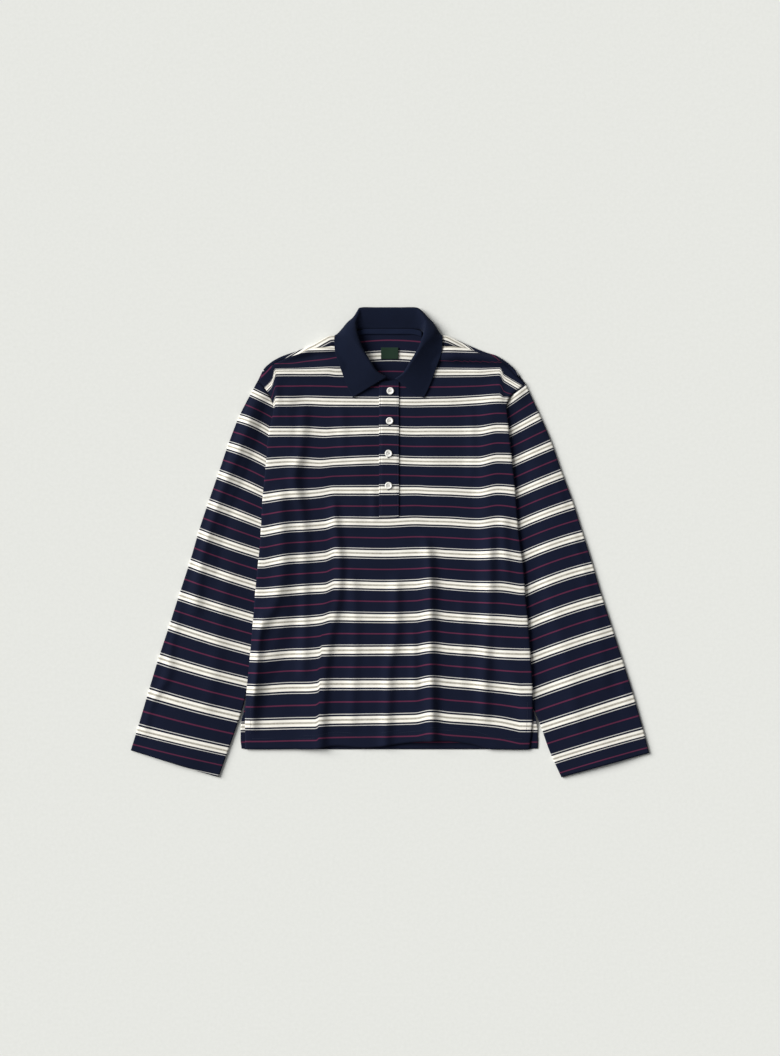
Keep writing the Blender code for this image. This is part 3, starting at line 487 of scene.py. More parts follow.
def front_stripe(x, y):
    """The stripe number on the front panel."""
    cx, cy = to_chart(x, y)
    for side, edge_x, slant, tuck, fade_y, fade_run in FRONT_TUCKS:
        past = side * (cx - edge_x)
        drop = slant * np.clip(past, 0, None)
        below = np.clip((cy - drop - TUCK_Y) / (1.2 * tuck), 0, 1)
        drop = drop + tuck * below * np.clip((past + 1.6) / 3.2, 0, 1)
        cy = cy - drop * smoothstep((fade_y - cy) / fade_run)
    step = np.array(FRONT_STEPS, float)
    lines = []
    for row in FRONT_STRIPES:
        columns = list(FRONT_CHART_X)
        columns[3:5] = (float(np.interp(row[4], step[:, 0], step[:, k])) for k in (1, 2))
        lines.append(smooth_through(columns, row[1:], cx, level=True))
    return between_lines(cy, lines, [row[0] for row in FRONT_STRIPES], FRONT_PERIOD_BELOW)


def back_stripe(x, y):
    """The stripe number on the back panel, arched a little at the neck."""
    cx, cy = to_chart(x, y)
    arch = 1.2 * np.clip((cx - 391.0) / 25.0, -2, 2) ** 2 * smoothstep((420.0 - cy) / 60.0)
    number = (cy - arch - BACK_FIRST) / BACK_PERIOD
    return np.where(np.abs(cx - 388.4) < 40.0, np.maximum(number, BACK_NAVY_TOP), number)


def shoulder_stripe(x, inside):
    """The stripe number on the back's fold over a shoulder, that far inside the fold."""
    left, right = (
        (side * (x - end), slant, even) for side, end, slant, even in SHOULDER_SLANTS)
    out, slant, even = (np.where(x < COLLAR_MIDDLE, a, b) for a, b in zip(left, right))
    far_out = 0.25 * np.clip(out - even, 0, None)
    return -1.0 + (inside - 1.5 - slant * out - far_out) / PERIOD


def sleeve_stripe(x, y, chart):
    """The stripe number on a sleeve, counted from the armhole."""
    cx, cy = to_chart(x, y)
    chart = np.array(chart, float)
    first = (chart[0, :2] + chart[0, 2:4]) / 2
    last = (chart[-1, :2] + chart[-1, 2:4]) / 2
    axis = (last - first) / np.linalg.norm(last - first)
    cross = np.array((axis[1], -axis[0]))
    along = cx * axis[0] + cy * axis[1]
    across = cx * cross[0] + cy * cross[1]
    lines = []
    for row in chart:
        out, inner, bow = row[:2], row[2:4], row[4]
        share = np.clip((across - out @ cross) / ((inner - out) @ cross), -0.1, 1.5)
        middle = bow * 4 * np.clip(share * (1 - share), 0, None)
        lines.append(out @ axis + ((inner - out) @ axis) * share + middle)
    return between_lines(along, lines, list(range(len(chart))), PERIOD / UNIT)


# --- Materials --------------------------------------------------------------

class Nodes:
    """Short calls to build a node material."""

    def __init__(self, name):
        self.material = bpy.data.materials.new(name)
        self.material.use_nodes = True
        self.tree = self.material.node_tree
        self.shader = self.tree.nodes["Principled BSDF"]

    def fill(self, node, inputs):
        """Gives each input its number, its colour or its link."""
        for key, value in inputs.items():
            if isinstance(value, bpy.types.NodeSocket):
                self.tree.links.new(value, node.inputs[key])
            else:
                value = (*value, 1.0) if isinstance(value, tuple) else value
                node.inputs[key].default_value = value

    def add(self, kind, inputs, **settings):
        """The outputs of a new node."""
        node = self.tree.nodes.new(kind)
        for key, value in settings.items():
            setattr(node, key, value)
        self.fill(node, inputs)
        return node.outputs

    def math(self, operation, *values):
        return self.add("ShaderNodeMath", dict(enumerate(values)), operation=operation)[0]

    def cloth(self):
        """The cloth's coordinates, and its U and V in millimetres."""
        uv = self.add("ShaderNodeUVMap", {}, uv_map="cloth")["UV"]
        u, v, _ = self.add("ShaderNodeSeparateXYZ", {0: uv})
        return uv, self.math("MULTIPLY", u, 1000.0), self.math("MULTIPLY", v, 1000.0)

    def place(self):
        return self.add("ShaderNodeTexCoord", {})["Object"]

    def noise(self, vector, scale, detail=2.0, roughness=0.5):
        return self.add("ShaderNodeTexNoise", {"Vector": vector, "Scale": scale, "Detail": detail,
                                               "Roughness": roughness})["Fac"]

    def remap(self, value, low, high, to_low=0.0, to_high=1.0):
        return self.add("ShaderNodeMapRange", {"Value": value, "From Min": low, "From Max": high,
                                               "To Min": to_low, "To Max": to_high}, clamp=True)[0]

    def mix(self, share, a, b):
        return self.add("ShaderNodeMix", {0: share, 6: a, 7: b}, data_type="RGBA")[2]

    def colour(self, source):
        self.fill(self.shader, {"Base Color": source})

    def stitches(self, across, along, wale, course):
        """Height of plain knit loops: columns of small V shapes."""
        place = self.math("FRACT", self.math("DIVIDE", across, wale))
        side = self.math("ABSOLUTE", self.math("SUBTRACT", place, 0.5))
        row = self.math("DIVIDE", along, course)
        row = self.math("ADD", row, self.math("MULTIPLY", side, 1.3))
        wave = self.math("COSINE", self.math("MULTIPLY", row, 2 * math.pi))
        loop = self.math("MULTIPLY_ADD", wave, 0.3, 0.7)
        edge = self.math("POWER", self.math("MULTIPLY", side, 2.0), 3.0)
        return self.math("MULTIPLY", loop, self.math("SUBTRACT", 1.0, edge))

    def bump(self, height, distance, strength=1.0):
        bumped = self.add("ShaderNodeBump", {"Height": height, "Distance": distance,
                                             "Strength": strength})
        self.fill(self.shader, {"Normal": bumped["Normal"]})

    def knit(self, colour, vector, loops, worn, painted_loop_shade_range, fuzz_scale, depth):
        """The colour with wear and painted shade in the hollows between the loops on it, and the
        loops' bump with fuzz.
        """
        scale, *worn = worn
        wear = self.remap(self.noise(vector, scale, 3.0, 0.6), 0.3, 0.7, *worn)
        # Painted shade: the colour is darkened where the loops lie low, between the stitches; the
        # wear noise is random tone.
        wear_and_painted_loop_shade = self.math("MULTIPLY", wear, self.remap(loops, 0.2, 1.0, *painted_loop_shade_range))
        self.colour(self.add("ShaderNodeVectorMath", {0: colour, "Scale": wear_and_painted_loop_shade},
                             operation="SCALE")[0])
        fuzz = self.noise(vector, fuzz_scale, 2.0, 0.7)
        self.bump(self.math("MULTIPLY_ADD", fuzz, 0.35, loops), depth, 0.8)

    def finish(self, roughness, specular, sheen=0.0, sheen_roughness=0.5, sheen_tint=(1, 1, 1)):
        self.fill(self.shader, {
            "Roughness": roughness, "Specular IOR Level": specular, "Sheen Weight": sheen,
            "Sheen Roughness": sheen_roughness, "Sheen Tint": sheen_tint})
        return self.material


def scaled(colour, factor):
    return tuple(c * factor for c in colour)


NAVY = (0.0045, 0.0068, 0.0194)
CREAM = (0.93, 0.905, 0.83)
MIDDLE = (0.34, 0.315, 0.255)
THIN = (0.72, 0.71, 0.68)
RED = (0.104, 0.019, 0.050)
COLLAR_NAVY = (0.0046, 0.0075, 0.0198)
THREAD_NAVY = (0.010, 0.014, 0.034)
LABEL_GREEN = (0.014, 0.030, 0.019)
THREAD_WHITE = (0.46, 0.45, 0.43)
BUTTON_WHITES = (0.86, 0.85, 0.81), (0.76, 0.74, 0.69)
TABLE_GREYS = (0.709, 0.720, 0.692), (0.737, 0.748, 0.720)
WALE, COURSE = 1.05, 0.82       # width and height of a loop of the jersey
# Half widths of the cream band and its beige middle; from a band's middle to both edges of
# the fine line beside it, and of the red line, which closes where two periods meet.
CREAM_HALF, MIDDLE_HALF, THIN_LINE, RED_LINE = 4.65, 1.25, (7.05, 8.0), (22.6, 24.5)


def jersey_material(name):
    """Striped jersey: cream bands with a beige middle and fine lines, red lines, navy ground."""
    n = Nodes(name)
    vector, across, along = n.cloth()
    place = n.math("FRACT", n.math("DIVIDE", across, WALE))
    tooth = n.math("ABSOLUTE", n.math("SUBTRACT", place, 0.5))
    uneven = n.noise(vector, 900.0, 1.0)
    jitter = n.math("MULTIPLY_ADD", uneven, 0.28, n.math("MULTIPLY_ADD", tooth, 0.36, -0.23))
    shifted = n.math("ADD", along, jitter)
    turn = n.math("FRACT", n.math("MULTIPLY_ADD", shifted, 1.0 / PERIOD, 0.5))
    far = n.math("ABSOLUTE", n.math("MULTIPLY", n.math("SUBTRACT", turn, 0.5), PERIOD))

    def band(low, high, soft=0.15):
        rise = n.remap(far, low - soft, low + soft)
        fall = n.remap(far, high - soft, high + soft, 1.0, 0.0)
        return n.math("MULTIPLY", rise, fall)

    cream, middle = band(-2.0, CREAM_HALF), band(-2.0, MIDDLE_HALF, 0.45)
    thin, red = band(*THIN_LINE), band(*RED_LINE)
    flecks = n.noise(vector, 420.0, 2.0, 0.6)
    middle_share = n.math("MULTIPLY", middle, n.remap(flecks, 0.35, 0.65, 0.72, 1.0))
    melange = n.noise(vector, 1500.0, 2.0, 0.7)
    ground = n.mix(n.remap(melange, 0.3, 0.75), NAVY, scaled(NAVY, 1.45))
    colour = n.mix(n.math("MULTIPLY", thin, 0.9), ground, THIN)
    colour = n.mix(n.math("MULTIPLY", red, 0.95), colour, RED)
    colour = n.mix(cream, colour, n.mix(middle_share, CREAM, MIDDLE))
    loops = n.stitches(across, along, WALE, COURSE)
    # (0.86, 1.03): painted shade between the jersey's loops.
    n.knit(colour, vector, loops, (28.0, 0.93, 1.06), (0.86, 1.03), 2600.0, 0.00016)
    return n.finish(0.86, 0.10, 0.03, 0.45, (0.75, 0.80, 1.0))


def knit_material(name, colour, wale, course, depth):
    """One-colour knit or woven cloth with its own loops."""
    n = Nodes(name)
    vector, across, along = n.cloth()
    melange = n.noise(vector, 1400.0, 2.0, 0.7)
    base = n.mix(n.remap(melange, 0.3, 0.75), colour, scaled(colour, 1.4))
    loops = n.stitches(across, along, wale, course)
    # (0.82, 1.04): painted shade between the loops of this cloth.
    n.knit(base, vector, loops, (30.0, 0.92, 1.08), (0.82, 1.04), 2400.0, depth)
    return n.finish(0.88, 0.08, 0.05, 0.5, (0.7, 0.78, 1.0))


def button_material(name):
    n = Nodes(name)
    place = n.place()
    n.colour(n.mix(n.remap(n.noise(place, 260.0, 3.0), 0.3, 0.7), *BUTTON_WHITES))
    n.bump(n.noise(place, 900.0), 0.00003)
    n.fill(n.shader, {"Roughness": 0.32, "Coat Weight": 0.3, "Coat Roughness": 0.15})
    return n.material


def thread_material(name, colour):
    n = Nodes(name)
    twist = n.add("ShaderNodeTexWave", {"Vector": n.place(), "Scale": 900.0,
                                        "Distortion": 1.5})["Fac"]
    n.colour(n.mix(twist, scaled(colour, 0.8), scaled(colour, 1.25)))
    n.bump(twist, 0.00005)
    return n.finish(0.6, 0.25)


def floor_material(name):
    n = Nodes(name)
    grain = n.noise(n.place(), 190.0, 3.0, 0.6)
    n.colour(n.mix(n.remap(grain, 0.3, 0.7), *TABLE_GREYS))
    n.bump(grain, 0.0001, 0.3)
    return n.finish(0.95, 0.0)


# --- Meshes -----------------------------------------------------------------

def show(thing):
    bpy.context.scene.collection.objects.link(thing)
    return thing


def riding(name, mesh):
    """A new piece of the mesh, on the shirt's one body."""
    mesh.shade_smooth()
    piece = show(bpy.data.objects.new(name, mesh))
    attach(piece, "root")
    return piece


def cloth_piece(name, points, cloth, material, wall, node, offset=-1.0,
                faces_on=None, closed=False):
    """A thin shell through rows of points, with its cloth coordinates in a UV map.

    points is (rows, columns, 3) and cloth (rows, columns, 2), both in millimetres.
    For a closed tube, cloth has one more column than points.
    """
    rows, columns = points.shape[:2]
    index = np.arange(rows * columns).reshape(rows, columns)
    quads, corners = [], []
    for r in range(rows - 1):
        for c in range(columns if closed else columns - 1):
            if faces_on is not None and not faces_on(r, c):
                continue
            f = (c + 1) % columns
            quads.append((index[r, c], index[r + 1, c], index[r + 1, f], index[r, f]))
            corners.append(((r, c), (r + 1, c), (r + 1, c + 1), (r, c + 1)))
    mesh = bpy.data.meshes.new(name)
    mesh.from_pydata((points.reshape(-1, 3) * MM).tolist(), [],
                     [tuple(map(int, q)) for q in quads])
    layer = mesh.uv_layers.new(name="cloth")
    flat = np.array(corners).reshape(-1, 2)
    values = cloth[flat[:, 0], flat[:, 1]] * MM
    layer.data.foreach_set("uv", values.astype(np.float32).ravel())
    work = bmesh.new()
    work.from_mesh(mesh)
    bmesh.ops.delete(work, geom=[v for v in work.verts if not v.link_faces], context="VERTS")
    work.to_mesh(mesh)
    work.free()
    mesh.materials.append(material)
    piece = riding(name, mesh)
    thicken = piece.modifiers.new("wall", "SOLIDIFY")
    thicken.thickness = wall * MM
    thicken.offset = offset
    thicken.use_even_offset = False
    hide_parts(node)
    return piece


def wrinkles(x, y, seed):
    """Small unevenness of cloth that has been smoothed by hand, in millimetres."""
    slow = lattice_noise(x + 0.15 * y, y, 34.0, 120.0, seed) * 0.34
    cross = lattice_noise(x, y - 0.2 * x, 90.0, 30.0, seed + 1) * 0.16
    fine = lattice_noise(x, y, 9.0, 13.0, seed + 2) * 0.07
    return slow + cross + fine


def stitch_line(depth_from_edge, at, width=0.8):
    """Depth of the dent along a line of stitching."""
    return -0.32 * np.exp(-((depth_from_edge - at) / width) ** 2)


def hem_relief(x, y, edge_y):
    """Turned-up hem: a little thicker below two rows of stitching."""
    up = y - edge_y
    thick = 0.45 * (1.0 - smoothstep((up - 19.5) / 2.0))
    edge = -0.5 * np.exp(-(up / 1.6) ** 2)
    return sum((stitch_line(up, row) for row in HEM_ROWS), thick + edge)


def soft_floor(value, low):
    """The value, kept above low with a soft bend."""
    return 0.5 * (value + low + np.sqrt((value - low) ** 2 + 0.36))


def front_relief(x, y):
    """The narrow folds and small wrinkles of the front, never down through the back."""
    cx, cy = to_chart(x, y)
    relief = sum(path_fold(cx, cy, fold) for fold in FRONT_PATHS) + wrinkles(x, y, 11)
    relief = relief + sum(path_fold(cx, cy, fold, down=False) for fold in FRONT_CROSS_PATHS)
    return soft_floor(relief, back_bottom(x, y) + LAYERS_DEEP - front_top(x, y))


def side_quiet(x, y):
    """0 at the side seams, 1 inside: how much of the relief shows there."""
    return smoothstep(from_side(x, y) / QUIET_RUN)


def front_face(x, y):
    """Height of the shown front, with its small relief."""
    hem = np.array(FRONT_HEM, float)
    edge_y = np.interp(x, hem[:, 0], hem[:, 1])
    return front_top(x, y) + (front_relief(x, y) + hem_relief(x, y, edge_y)) * side_quiet(x, y)


jersey = jersey_material("striped_jersey_knit")
collar_cloth = knit_material("flat_knit_rib", COLLAR_NAVY, 1.35, 1.0, 0.00028)
tape_cloth = knit_material("neck_tape_twill", scaled(COLLAR_NAVY, 1.3), 0.6, 0.8, 0.0001)
label_cloth = knit_material("label_weave", LABEL_GREEN, 0.5, 0.5, 0.00006)
thread_navy = thread_material("thread_navy", THREAD_NAVY)
thread_white = thread_material("thread_white", THREAD_WHITE)
button_white = button_material("button_white")


def column_fractions(count):
    """u of each column, closer together at both sides."""
    t = np.linspace(0.0, 1.0, count + 1)
    return t - 0.3 * np.sin(2 * math.pi * t) / (2 * math.pi)


PANEL_U, PANEL_V = column_fractions(PANEL_COLUMNS), np.linspace(0.0, 1.0, PANEL_ROWS)


def build_front():
    x, y = panel_plan(PANEL_U, PANEL_V, FRONT_TOP, FRONT_HEM)
    points = np.stack((x, y, front_face(x, y)), axis=-1)
    cloth = np.stack((x, front_stripe(x, y) * PERIOD), axis=-1)
    return cloth_piece("front_cloth", points, cloth, jersey, SHELL, "front")


def build_back():
    u = PANEL_U
    x, y = panel_plan(u, PANEL_V, BACK_TOP, BACK_HEM, VENT_STEP_LEFT, VENT_STEP_RIGHT)
    flat = np.stack((x, y, back_bottom(x, y)), axis=-1)
    low, high = back_bottom(x[0], y[0]), front_top(x[0], y[0])
    middle, radius = (low + high) / 2, (high - low) / 2
    seam = np.array(FRONT_TOP, float)
    seam_xy = smooth_through(seam[:, 0], seam[:, 1:], u)
    fold_xy = np.stack((x[0], y[0]), axis=-1)
    away = fold_xy - seam_xy
    away = away / np.maximum(np.linalg.norm(away, axis=1), 1.0)[:, None]
    wrap = []
    for angle in np.linspace(-75.0, 90.0, 12):
        inward = radius * (1.0 - math.cos(math.radians(angle)))
        height = middle + radius * math.sin(math.radians(angle))
        wrap.append(np.column_stack((fold_xy - away * inward[:, None], height)))
    start = wrap[-1][:, :2]
    last = seam_xy + away * SEAM * 0.4
    for share in (0.34, 0.67, 1.0):
        x_at, y_at = (start + (last - start) * share).T
        relief = front_relief(x_at, y_at) * side_quiet(x_at, y_at) * share
        height = front_top(x_at, y_at) + relief - 0.35 * share ** 3
        wrap.append(np.column_stack((x_at, y_at, height)))
    wrap = np.array(wrap[::-1])
    left_end, right_start, tip = (
        int(np.argmin(np.abs(u - at)))
        for at in (SHOULDER_LEFT_END, SHOULDER_RIGHT_START, TIP_SHARE))
    folded = (np.arange(len(u)) <= left_end) | (np.arange(len(u)) >= right_start)
    folded[:tip] = folded[len(u) - tip:] = False
    flat[0, folded, :2] = (fold_xy - away * radius[:, None])[folded]
    points = np.concatenate((wrap, flat))
    number = back_stripe(points[..., 0], points[..., 1])
    reach = ((fold_xy[None] - wrap[..., :2]) * away[None]).sum(-1)
    number[:len(wrap)] = shoulder_stripe(wrap[..., 0], reach)
    cloth = np.stack((points[..., 0], number * PERIOD), axis=-1)
    lap = len(wrap)

    def is_cloth(r, c):
        return r >= lap or tip <= c < left_end or right_start <= c < len(u) - tip - 1

    return cloth_piece("back_cloth", points, cloth, jersey, SHELL, "back",
                       offset=1.0, faces_on=is_cloth)


def sleeve_ring(width, shown):
    """One ring as (distance from the outer edge, height) round the flattened tube."""
    fold = SLEEVE_FLAT / 2
    flat = width - 2 * fold
    ring = []
    for t in np.linspace(0.0, 1.0, RING_FACE):
        t = t - 0.6 * math.sin(2 * math.pi * t) / (2 * math.pi)
        puff = SLEEVE_PUFF * math.sin(math.pi * min(t / shown, 1.0)) ** 1.5
        ring.append((fold + flat * t, SLEEVE_FLAT + puff))
    angles = np.linspace(math.pi / 2, -math.pi / 2, RING_FOLD + 2)[1:-1]
    for angle in angles:
        ring.append((width - fold + fold * math.cos(angle), fold + fold * math.sin(angle)))
    for t in np.linspace(1.0, 0.0, RING_BACK):
        ring.append((fold + flat * t, 0.0))
    for angle in angles[::-1]:
        ring.append((fold - fold * math.cos(angle), fold + fold * math.sin(angle)))
    return np.array(ring)


def build_sleeve(name, node, sleeve, side, chart):
    table = np.array(sleeve, float)
    knots = np.arange(len(table))
    rows = smooth_through(knots, table, np.linspace(0, len(table) - 1, SLEEVE_RINGS))
    body, armhole = ((LEFT_TABLE, ARMHOLE_LEFT) if side < 0 else (RIGHT_TABLE, ARMHOLE_RIGHT))
    armhole = np.array(armhole, float) + np.array((side, -1.0)) * SEAM * ARMHOLE_CLEAR
    reach = run_lengths(armhole)

    def plain_ring(row):
        """One straight ring, its width and its height profile."""
        x_out, y_out, x_in, y_in = row
        to_inner = np.array((x_in - x_out, y_in - y_out))
        width = np.linalg.norm(to_inner)
        body_edge = float(side_x(body, (y_out + y_in) / 2))
        ring = sleeve_ring(width, np.clip((body_edge - x_out) / to_inner[0] - 0.04, 0.5, 1.0))
        straight = np.outer(to_inner / width, ring[:, 0]) + np.array(((x_out,), (y_out,)))
        return straight, width, ring

    solid_step = (SLEEVE_RINGS - 1) / SOLID_RINGS
    place = np.array([(len(table) - 1) / SOLID_RINGS])
    second = plain_ring(smooth_through(knots, table, place)[0])
    points, cloth = [], []
    for index, row in enumerate(rows):
        straight, width, ring = plain_ring(row)
        share = min(index / solid_step, 1.0)
        if share < 1.0:
            first = sleeve_ring(reach[-1], 0.5)
            curved = np.array([np.interp(first[:, 0], reach, armhole[:, k]) for k in (0, 1)])
            straight = curved * (1 - share) + second[0] * share
            ring = first * (1 - share) + second[2] * share
            width = reach[-1] * (1 - share) + second[1] * share
        x, y = straight
        z = ring[:, 1].copy()
        face = np.arange(len(ring)) < RING_FACE
        share = np.clip(ring[:, 0] / width, 0, 1)
        quiet = smoothstep(share / 0.12) * smoothstep((1 - share) / 0.12) * face
        quiet = quiet * smoothstep(index / 6.0)
        folds = sum(path_fold(*to_chart(x, y), fold) for fold in SLEEVE_PATHS[side])
        cuff = (len(rows) - 1 - index) / (len(rows) - 1) * SLEEVE_LENGTH
        dents = sum(stitch_line(cuff, row) for row in HEM_ROWS)
        relief = soft_floor(folds + wrinkles(x, y, 31 + side) * 1.2, LAYERS_DEEP - z)
        z = z + relief * quiet + dents * face
        points.append(np.column_stack((x, y, z)))
        steps = np.hypot(*np.diff(ring, axis=0).T)
        around = np.concatenate(((0.0,), np.cumsum(steps), (steps.sum() + 1.5,)))
        number = sleeve_stripe(x, y, chart)
        cloth.append(np.column_stack((around, np.append(number, number[0]) * PERIOD)))
    points, cloth = np.array(points), np.array(cloth)
    if side > 0:
        points, cloth = points[:, ::-1], cloth[:, ::-1]
        cloth = np.concatenate((cloth[:, 1:], cloth[:, 1:2]), axis=1)
    return cloth_piece(name, points, cloth, jersey, SHELL, node, closed=True)


# --- Collar -----------------------------------------------------------------

def bezier(a, b, c, d, t):
    """A point of the cubic curve with the given four poles."""
    return a * (1 - t) ** 3 + 3 * b * t * (1 - t) ** 2 + 3 * c * t ** 2 * (1 - t) + d * t ** 3


def collar_section(row):
    """Points of one section through the middle of the knit: stand with roll, and fall."""
    neck, middle, edge = row[:3], row[3:6], row[10:]
    radius, reach = row[6:8]
    facing, turn = (math.radians(angle) for angle in row[8:10])
    out = np.array((-math.cos(facing), math.sin(facing), 0.0))
    up = np.array((0.0, 0.0, 1.0))

    def direction(angle):
        return math.cos(angle) * out + math.sin(angle) * up

    def on_roll(t):
        angle = turn - math.pi * t
        run_out = reach * max((t - RUN_FROM) / (1 - RUN_FROM), 0.0) ** RUN_POWER
        return middle + run_out * out + radius * (-math.sin(angle) * out + math.cos(angle) * up)

    start, end = on_roll(0.0), on_roll(1.0)
    pull = 0.35 * np.linalg.norm(start - neck)
    neck = neck - (start - neck) / np.linalg.norm(start - neck) * NECK_TURN_IN
    points = [bezier(neck, neck + (start - neck) * 0.3, start - direction(turn) * pull, start, t)
              for t in np.linspace(0.0, 0.93, STAND_POINTS)]
    points += [on_roll(t) for t in np.linspace(0.0, 1.0, ROLL_POINTS)]
    leave = (reach * RUN_POWER / (1 - RUN_FROM)) * out
    leave = leave + math.pi * radius * direction(turn - math.pi)
    leave = leave / np.linalg.norm(leave)
    pull = min(0.22 * np.linalg.norm(edge - end), 8.0)
    flat = np.array((edge[0] - end[0], edge[1] - end[1], 0.0))
    flat = flat / np.linalg.norm(flat)
    fall = [bezier(end, end + leave * pull, edge - flat * pull, edge, t)
            for t in np.linspace(0.05, 1.0, FALL_POINTS)]
    return points, fall


def shoulder_fold_y(x):
    """y of the back's top edge at x."""
    top = np.array(BACK_TOP, float)
    return float(np.interp(x, top[:, 1], top[:, 2]))


def settle_fall(fall, place, mirror):
    """Lays the fall's points on what carries them: the table, or the front panel."""
    half_knit = COLLAR_KNIT / 2
    for point in fall:
        x = COLLAR_MIDDLE + mirror * point[0]
        point[2] = max(point[2], half_knit + FALL_LOW)
        if place >= FALL_OVER_FROM - 1:
            over = float(smoothstep(place - (FALL_OVER_FROM - 1)))
            laid = max(point[2], float(front_top(x, point[1])) + SEAM + half_knit)
            point[2] = point[2] + (laid - point[2]) * over
        if place <= FALL_UNDER_TO + 1 and point[1] < shoulder_fold_y(x) + 3.0:
            under = float(smoothstep(FALL_UNDER_TO + 1 - place))
            point[2] = point[2] + (half_knit + FALL_LOW - point[2]) * under
    return fall


def build_collar():
    table = np.array(COLLAR_SECTIONS, float)
    places = np.linspace(0, len(table) - 1, COLLAR_STEPS)
    rows = smooth_through(np.arange(len(table)), table, places)
    halves = []
    for mirror in (-1, 1):
        half = []
        for place, row in zip(places, rows):
            row = row.copy()
            neck_shift = END_SHIFT * smoothstep((place - len(table) + 4.0) / 3.0)
            row[0] += mirror * neck_shift
            row[3] += mirror * max(ROLL_SHIFT * smoothstep((place - 2.0) / 2.0), neck_shift)
            right_end = (mirror > 0) * smoothstep((place - len(table) + 3.0) / 2.0)
            row[4] -= RIGHT_END_DROP * right_end
            stand, fall = collar_section(row)
            for share, point in zip(np.linspace(0.0, 1.0, len(fall)), fall):
                point[1] -= RIGHT_END_BOW * right_end * math.sin(math.pi * share)
            half.append(stand + settle_fall(fall, place, mirror))
        halves.append(np.array(half) * (mirror, 1, 1) + (COLLAR_MIDDLE, 0, 0))
    left, right = halves
    points = np.concatenate((left[::-1], right[1:]))
    steps = np.linalg.norm(np.diff(points, axis=1), axis=2)
    across = np.insert(np.cumsum(steps, axis=1), 0, 0.0, axis=1)
    steps = np.linalg.norm(np.diff(points[:, RULER], axis=0), axis=1)
    along = np.insert(np.cumsum(steps), 0, 0.0)
    cloth = np.stack((np.broadcast_to(along[:, None], across.shape), across), axis=-1)
    return cloth_piece("collar_knit_band", points, cloth, collar_cloth, COLLAR_WALL,
                       "collar", offset=0.0)


# --- Placket, buttons, tape, label ------------------------------------------

def placket_face(x, y):
    """Height of the placket's face, drawn down along the edges that are sewn."""
    sewn = np.minimum(x - PLACKET_LEFT, y - PLACKET_BOTTOM)
    drawn_down = -0.75 * (1 - smoothstep(sewn / 6.0))
    edge = np.minimum(np.minimum(x - PLACKET_LEFT, PLACKET_RIGHT - x), y - PLACKET_BOTTOM)
    round_edge = -0.6 * (1 - np.sqrt(np.clip(1 - (1 - np.clip(edge / 1.4, 0, 1)) ** 2, 0, 1)))
    return (front_top(x, y) + front_relief(x, y) + SEAM + PLACKET_CLOTH
            + round_edge + drawn_down + stitch_line(edge, 2.4, 0.7))


def placket_at(x, y):
    return float(placket_face(np.array(x), np.array(y)))


def build_placket():
    x = PLACKET_LEFT + (PLACKET_RIGHT - PLACKET_LEFT) * column_fractions(36)
    y = np.concatenate((np.linspace(PLACKET_TOP, PLACKET_BOTTOM + 6, 150),
                        np.linspace(PLACKET_BOTTOM + 5, PLACKET_BOTTOM, 8)))
    x, y = np.meshgrid(x, y)
    points = np.stack((x, y, placket_face(x, y)), axis=-1)
    cloth = np.stack((x, (front_stripe(x, y - PLACKET_SHIFT * UNIT)) * PERIOD), axis=-1)
    return cloth_piece("placket_strip", points, cloth, jersey, PLACKET_SHELL,
                       "placket")


def mesh_object(name, work, material):
    """A riding piece made from a bmesh."""
    mesh = bpy.data.meshes.new(name)
    work.to_mesh(mesh)
    work.free()
    mesh.materials.append(material)
    return riding(name, mesh)


def add_ring(work, steps, place):
    """Points round a circle, each where place(cosine, sine) puts it, in millimetres."""
    angles = [2 * math.pi * k / steps for k in range(steps)]
    return [work.verts.new(place(math.cos(angle), math.sin(angle))) for angle in angles]


def add_rod(work, start, end, radius, sides=6):
    """A small round-ended rod, one stitch of thread."""
    start, end = np.array(start, float), np.array(end, float)
    axis = (end - start) / np.linalg.norm(end - start)
    side = np.cross(axis, (0.0, 0.0, 1.0))
    side = side / np.linalg.norm(side)
    lift = np.cross(side, axis)
    rings = [add_ring(work, sides, lambda c, s: (start + (end - start) * along
                                                 + radius * size * (c * side + s * lift)) * MM)
             for along, size in ((-0.15, 0.45), (0.12, 1.0), (0.88, 1.0), (1.15, 0.45))]
    for lower, upper in zip(rings, rings[1:]):
        for k in range(sides):
            f = (k + 1) % sides
            work.faces.new((lower[k], lower[f], upper[f], upper[k]))
    work.faces.new(rings[0][::-1])
    work.faces.new(rings[-1])


def stitch_run(work, path, height, pitch=3.2, length=2.2, radius=0.22):
    """Stitches along a path of (x, y), lying at height(x, y)."""
    path = np.array(path, float)
    reach = run_lengths(path)
    for k in range(int(reach[-1] / pitch)):
        ends = []
        for at in (k * pitch, k * pitch + length):
            x, y = (float(np.interp(at, reach, path[:, i])) for i in (0, 1))
            ends.append((x, y, float(height(np.array(x), np.array(y))) - 0.02))
        add_rod(work, ends[0], ends[1], radius)


def build_stitching():
    """Topstitching of the hems, the vents and the placket, as one piece of thread."""
    work = bmesh.new()
    hem = np.array(FRONT_HEM, float)
    x = np.linspace(*HEM_STITCH_X, 140)
    hem_y = smooth_through(hem[:, 0], hem[:, 1], x)
    for up in HEM_ROWS:
        stitch_run(work, np.column_stack((x, hem_y + up)), front_face)
    for table, inward in ((LEFT_TABLE, VENT_INSET), (RIGHT_TABLE, -VENT_INSET)):
        y = np.linspace(*VENT_STITCH_Y, 20)
        stitch_run(work, np.column_stack((side_x(table, y) + inward, y)), front_face, 2.8, 1.9)
    left, right = PLACKET_LEFT + PLACKET_INSET, PLACKET_RIGHT - PLACKET_INSET
    low, high = PLACKET_BOTTOM + PLACKET_INSET, PLACKET_SEWN_TO
    for path in (((left, high), (left, low), (right, low), (right, high)),
                 ((left, low + PLACKET_BOX), (right, low + PLACKET_BOX))):
        stitch_run(work, path, placket_face, 2.9, 2.0, 0.2)
    piece = mesh_object("topstitching", work, thread_navy)
    return piece


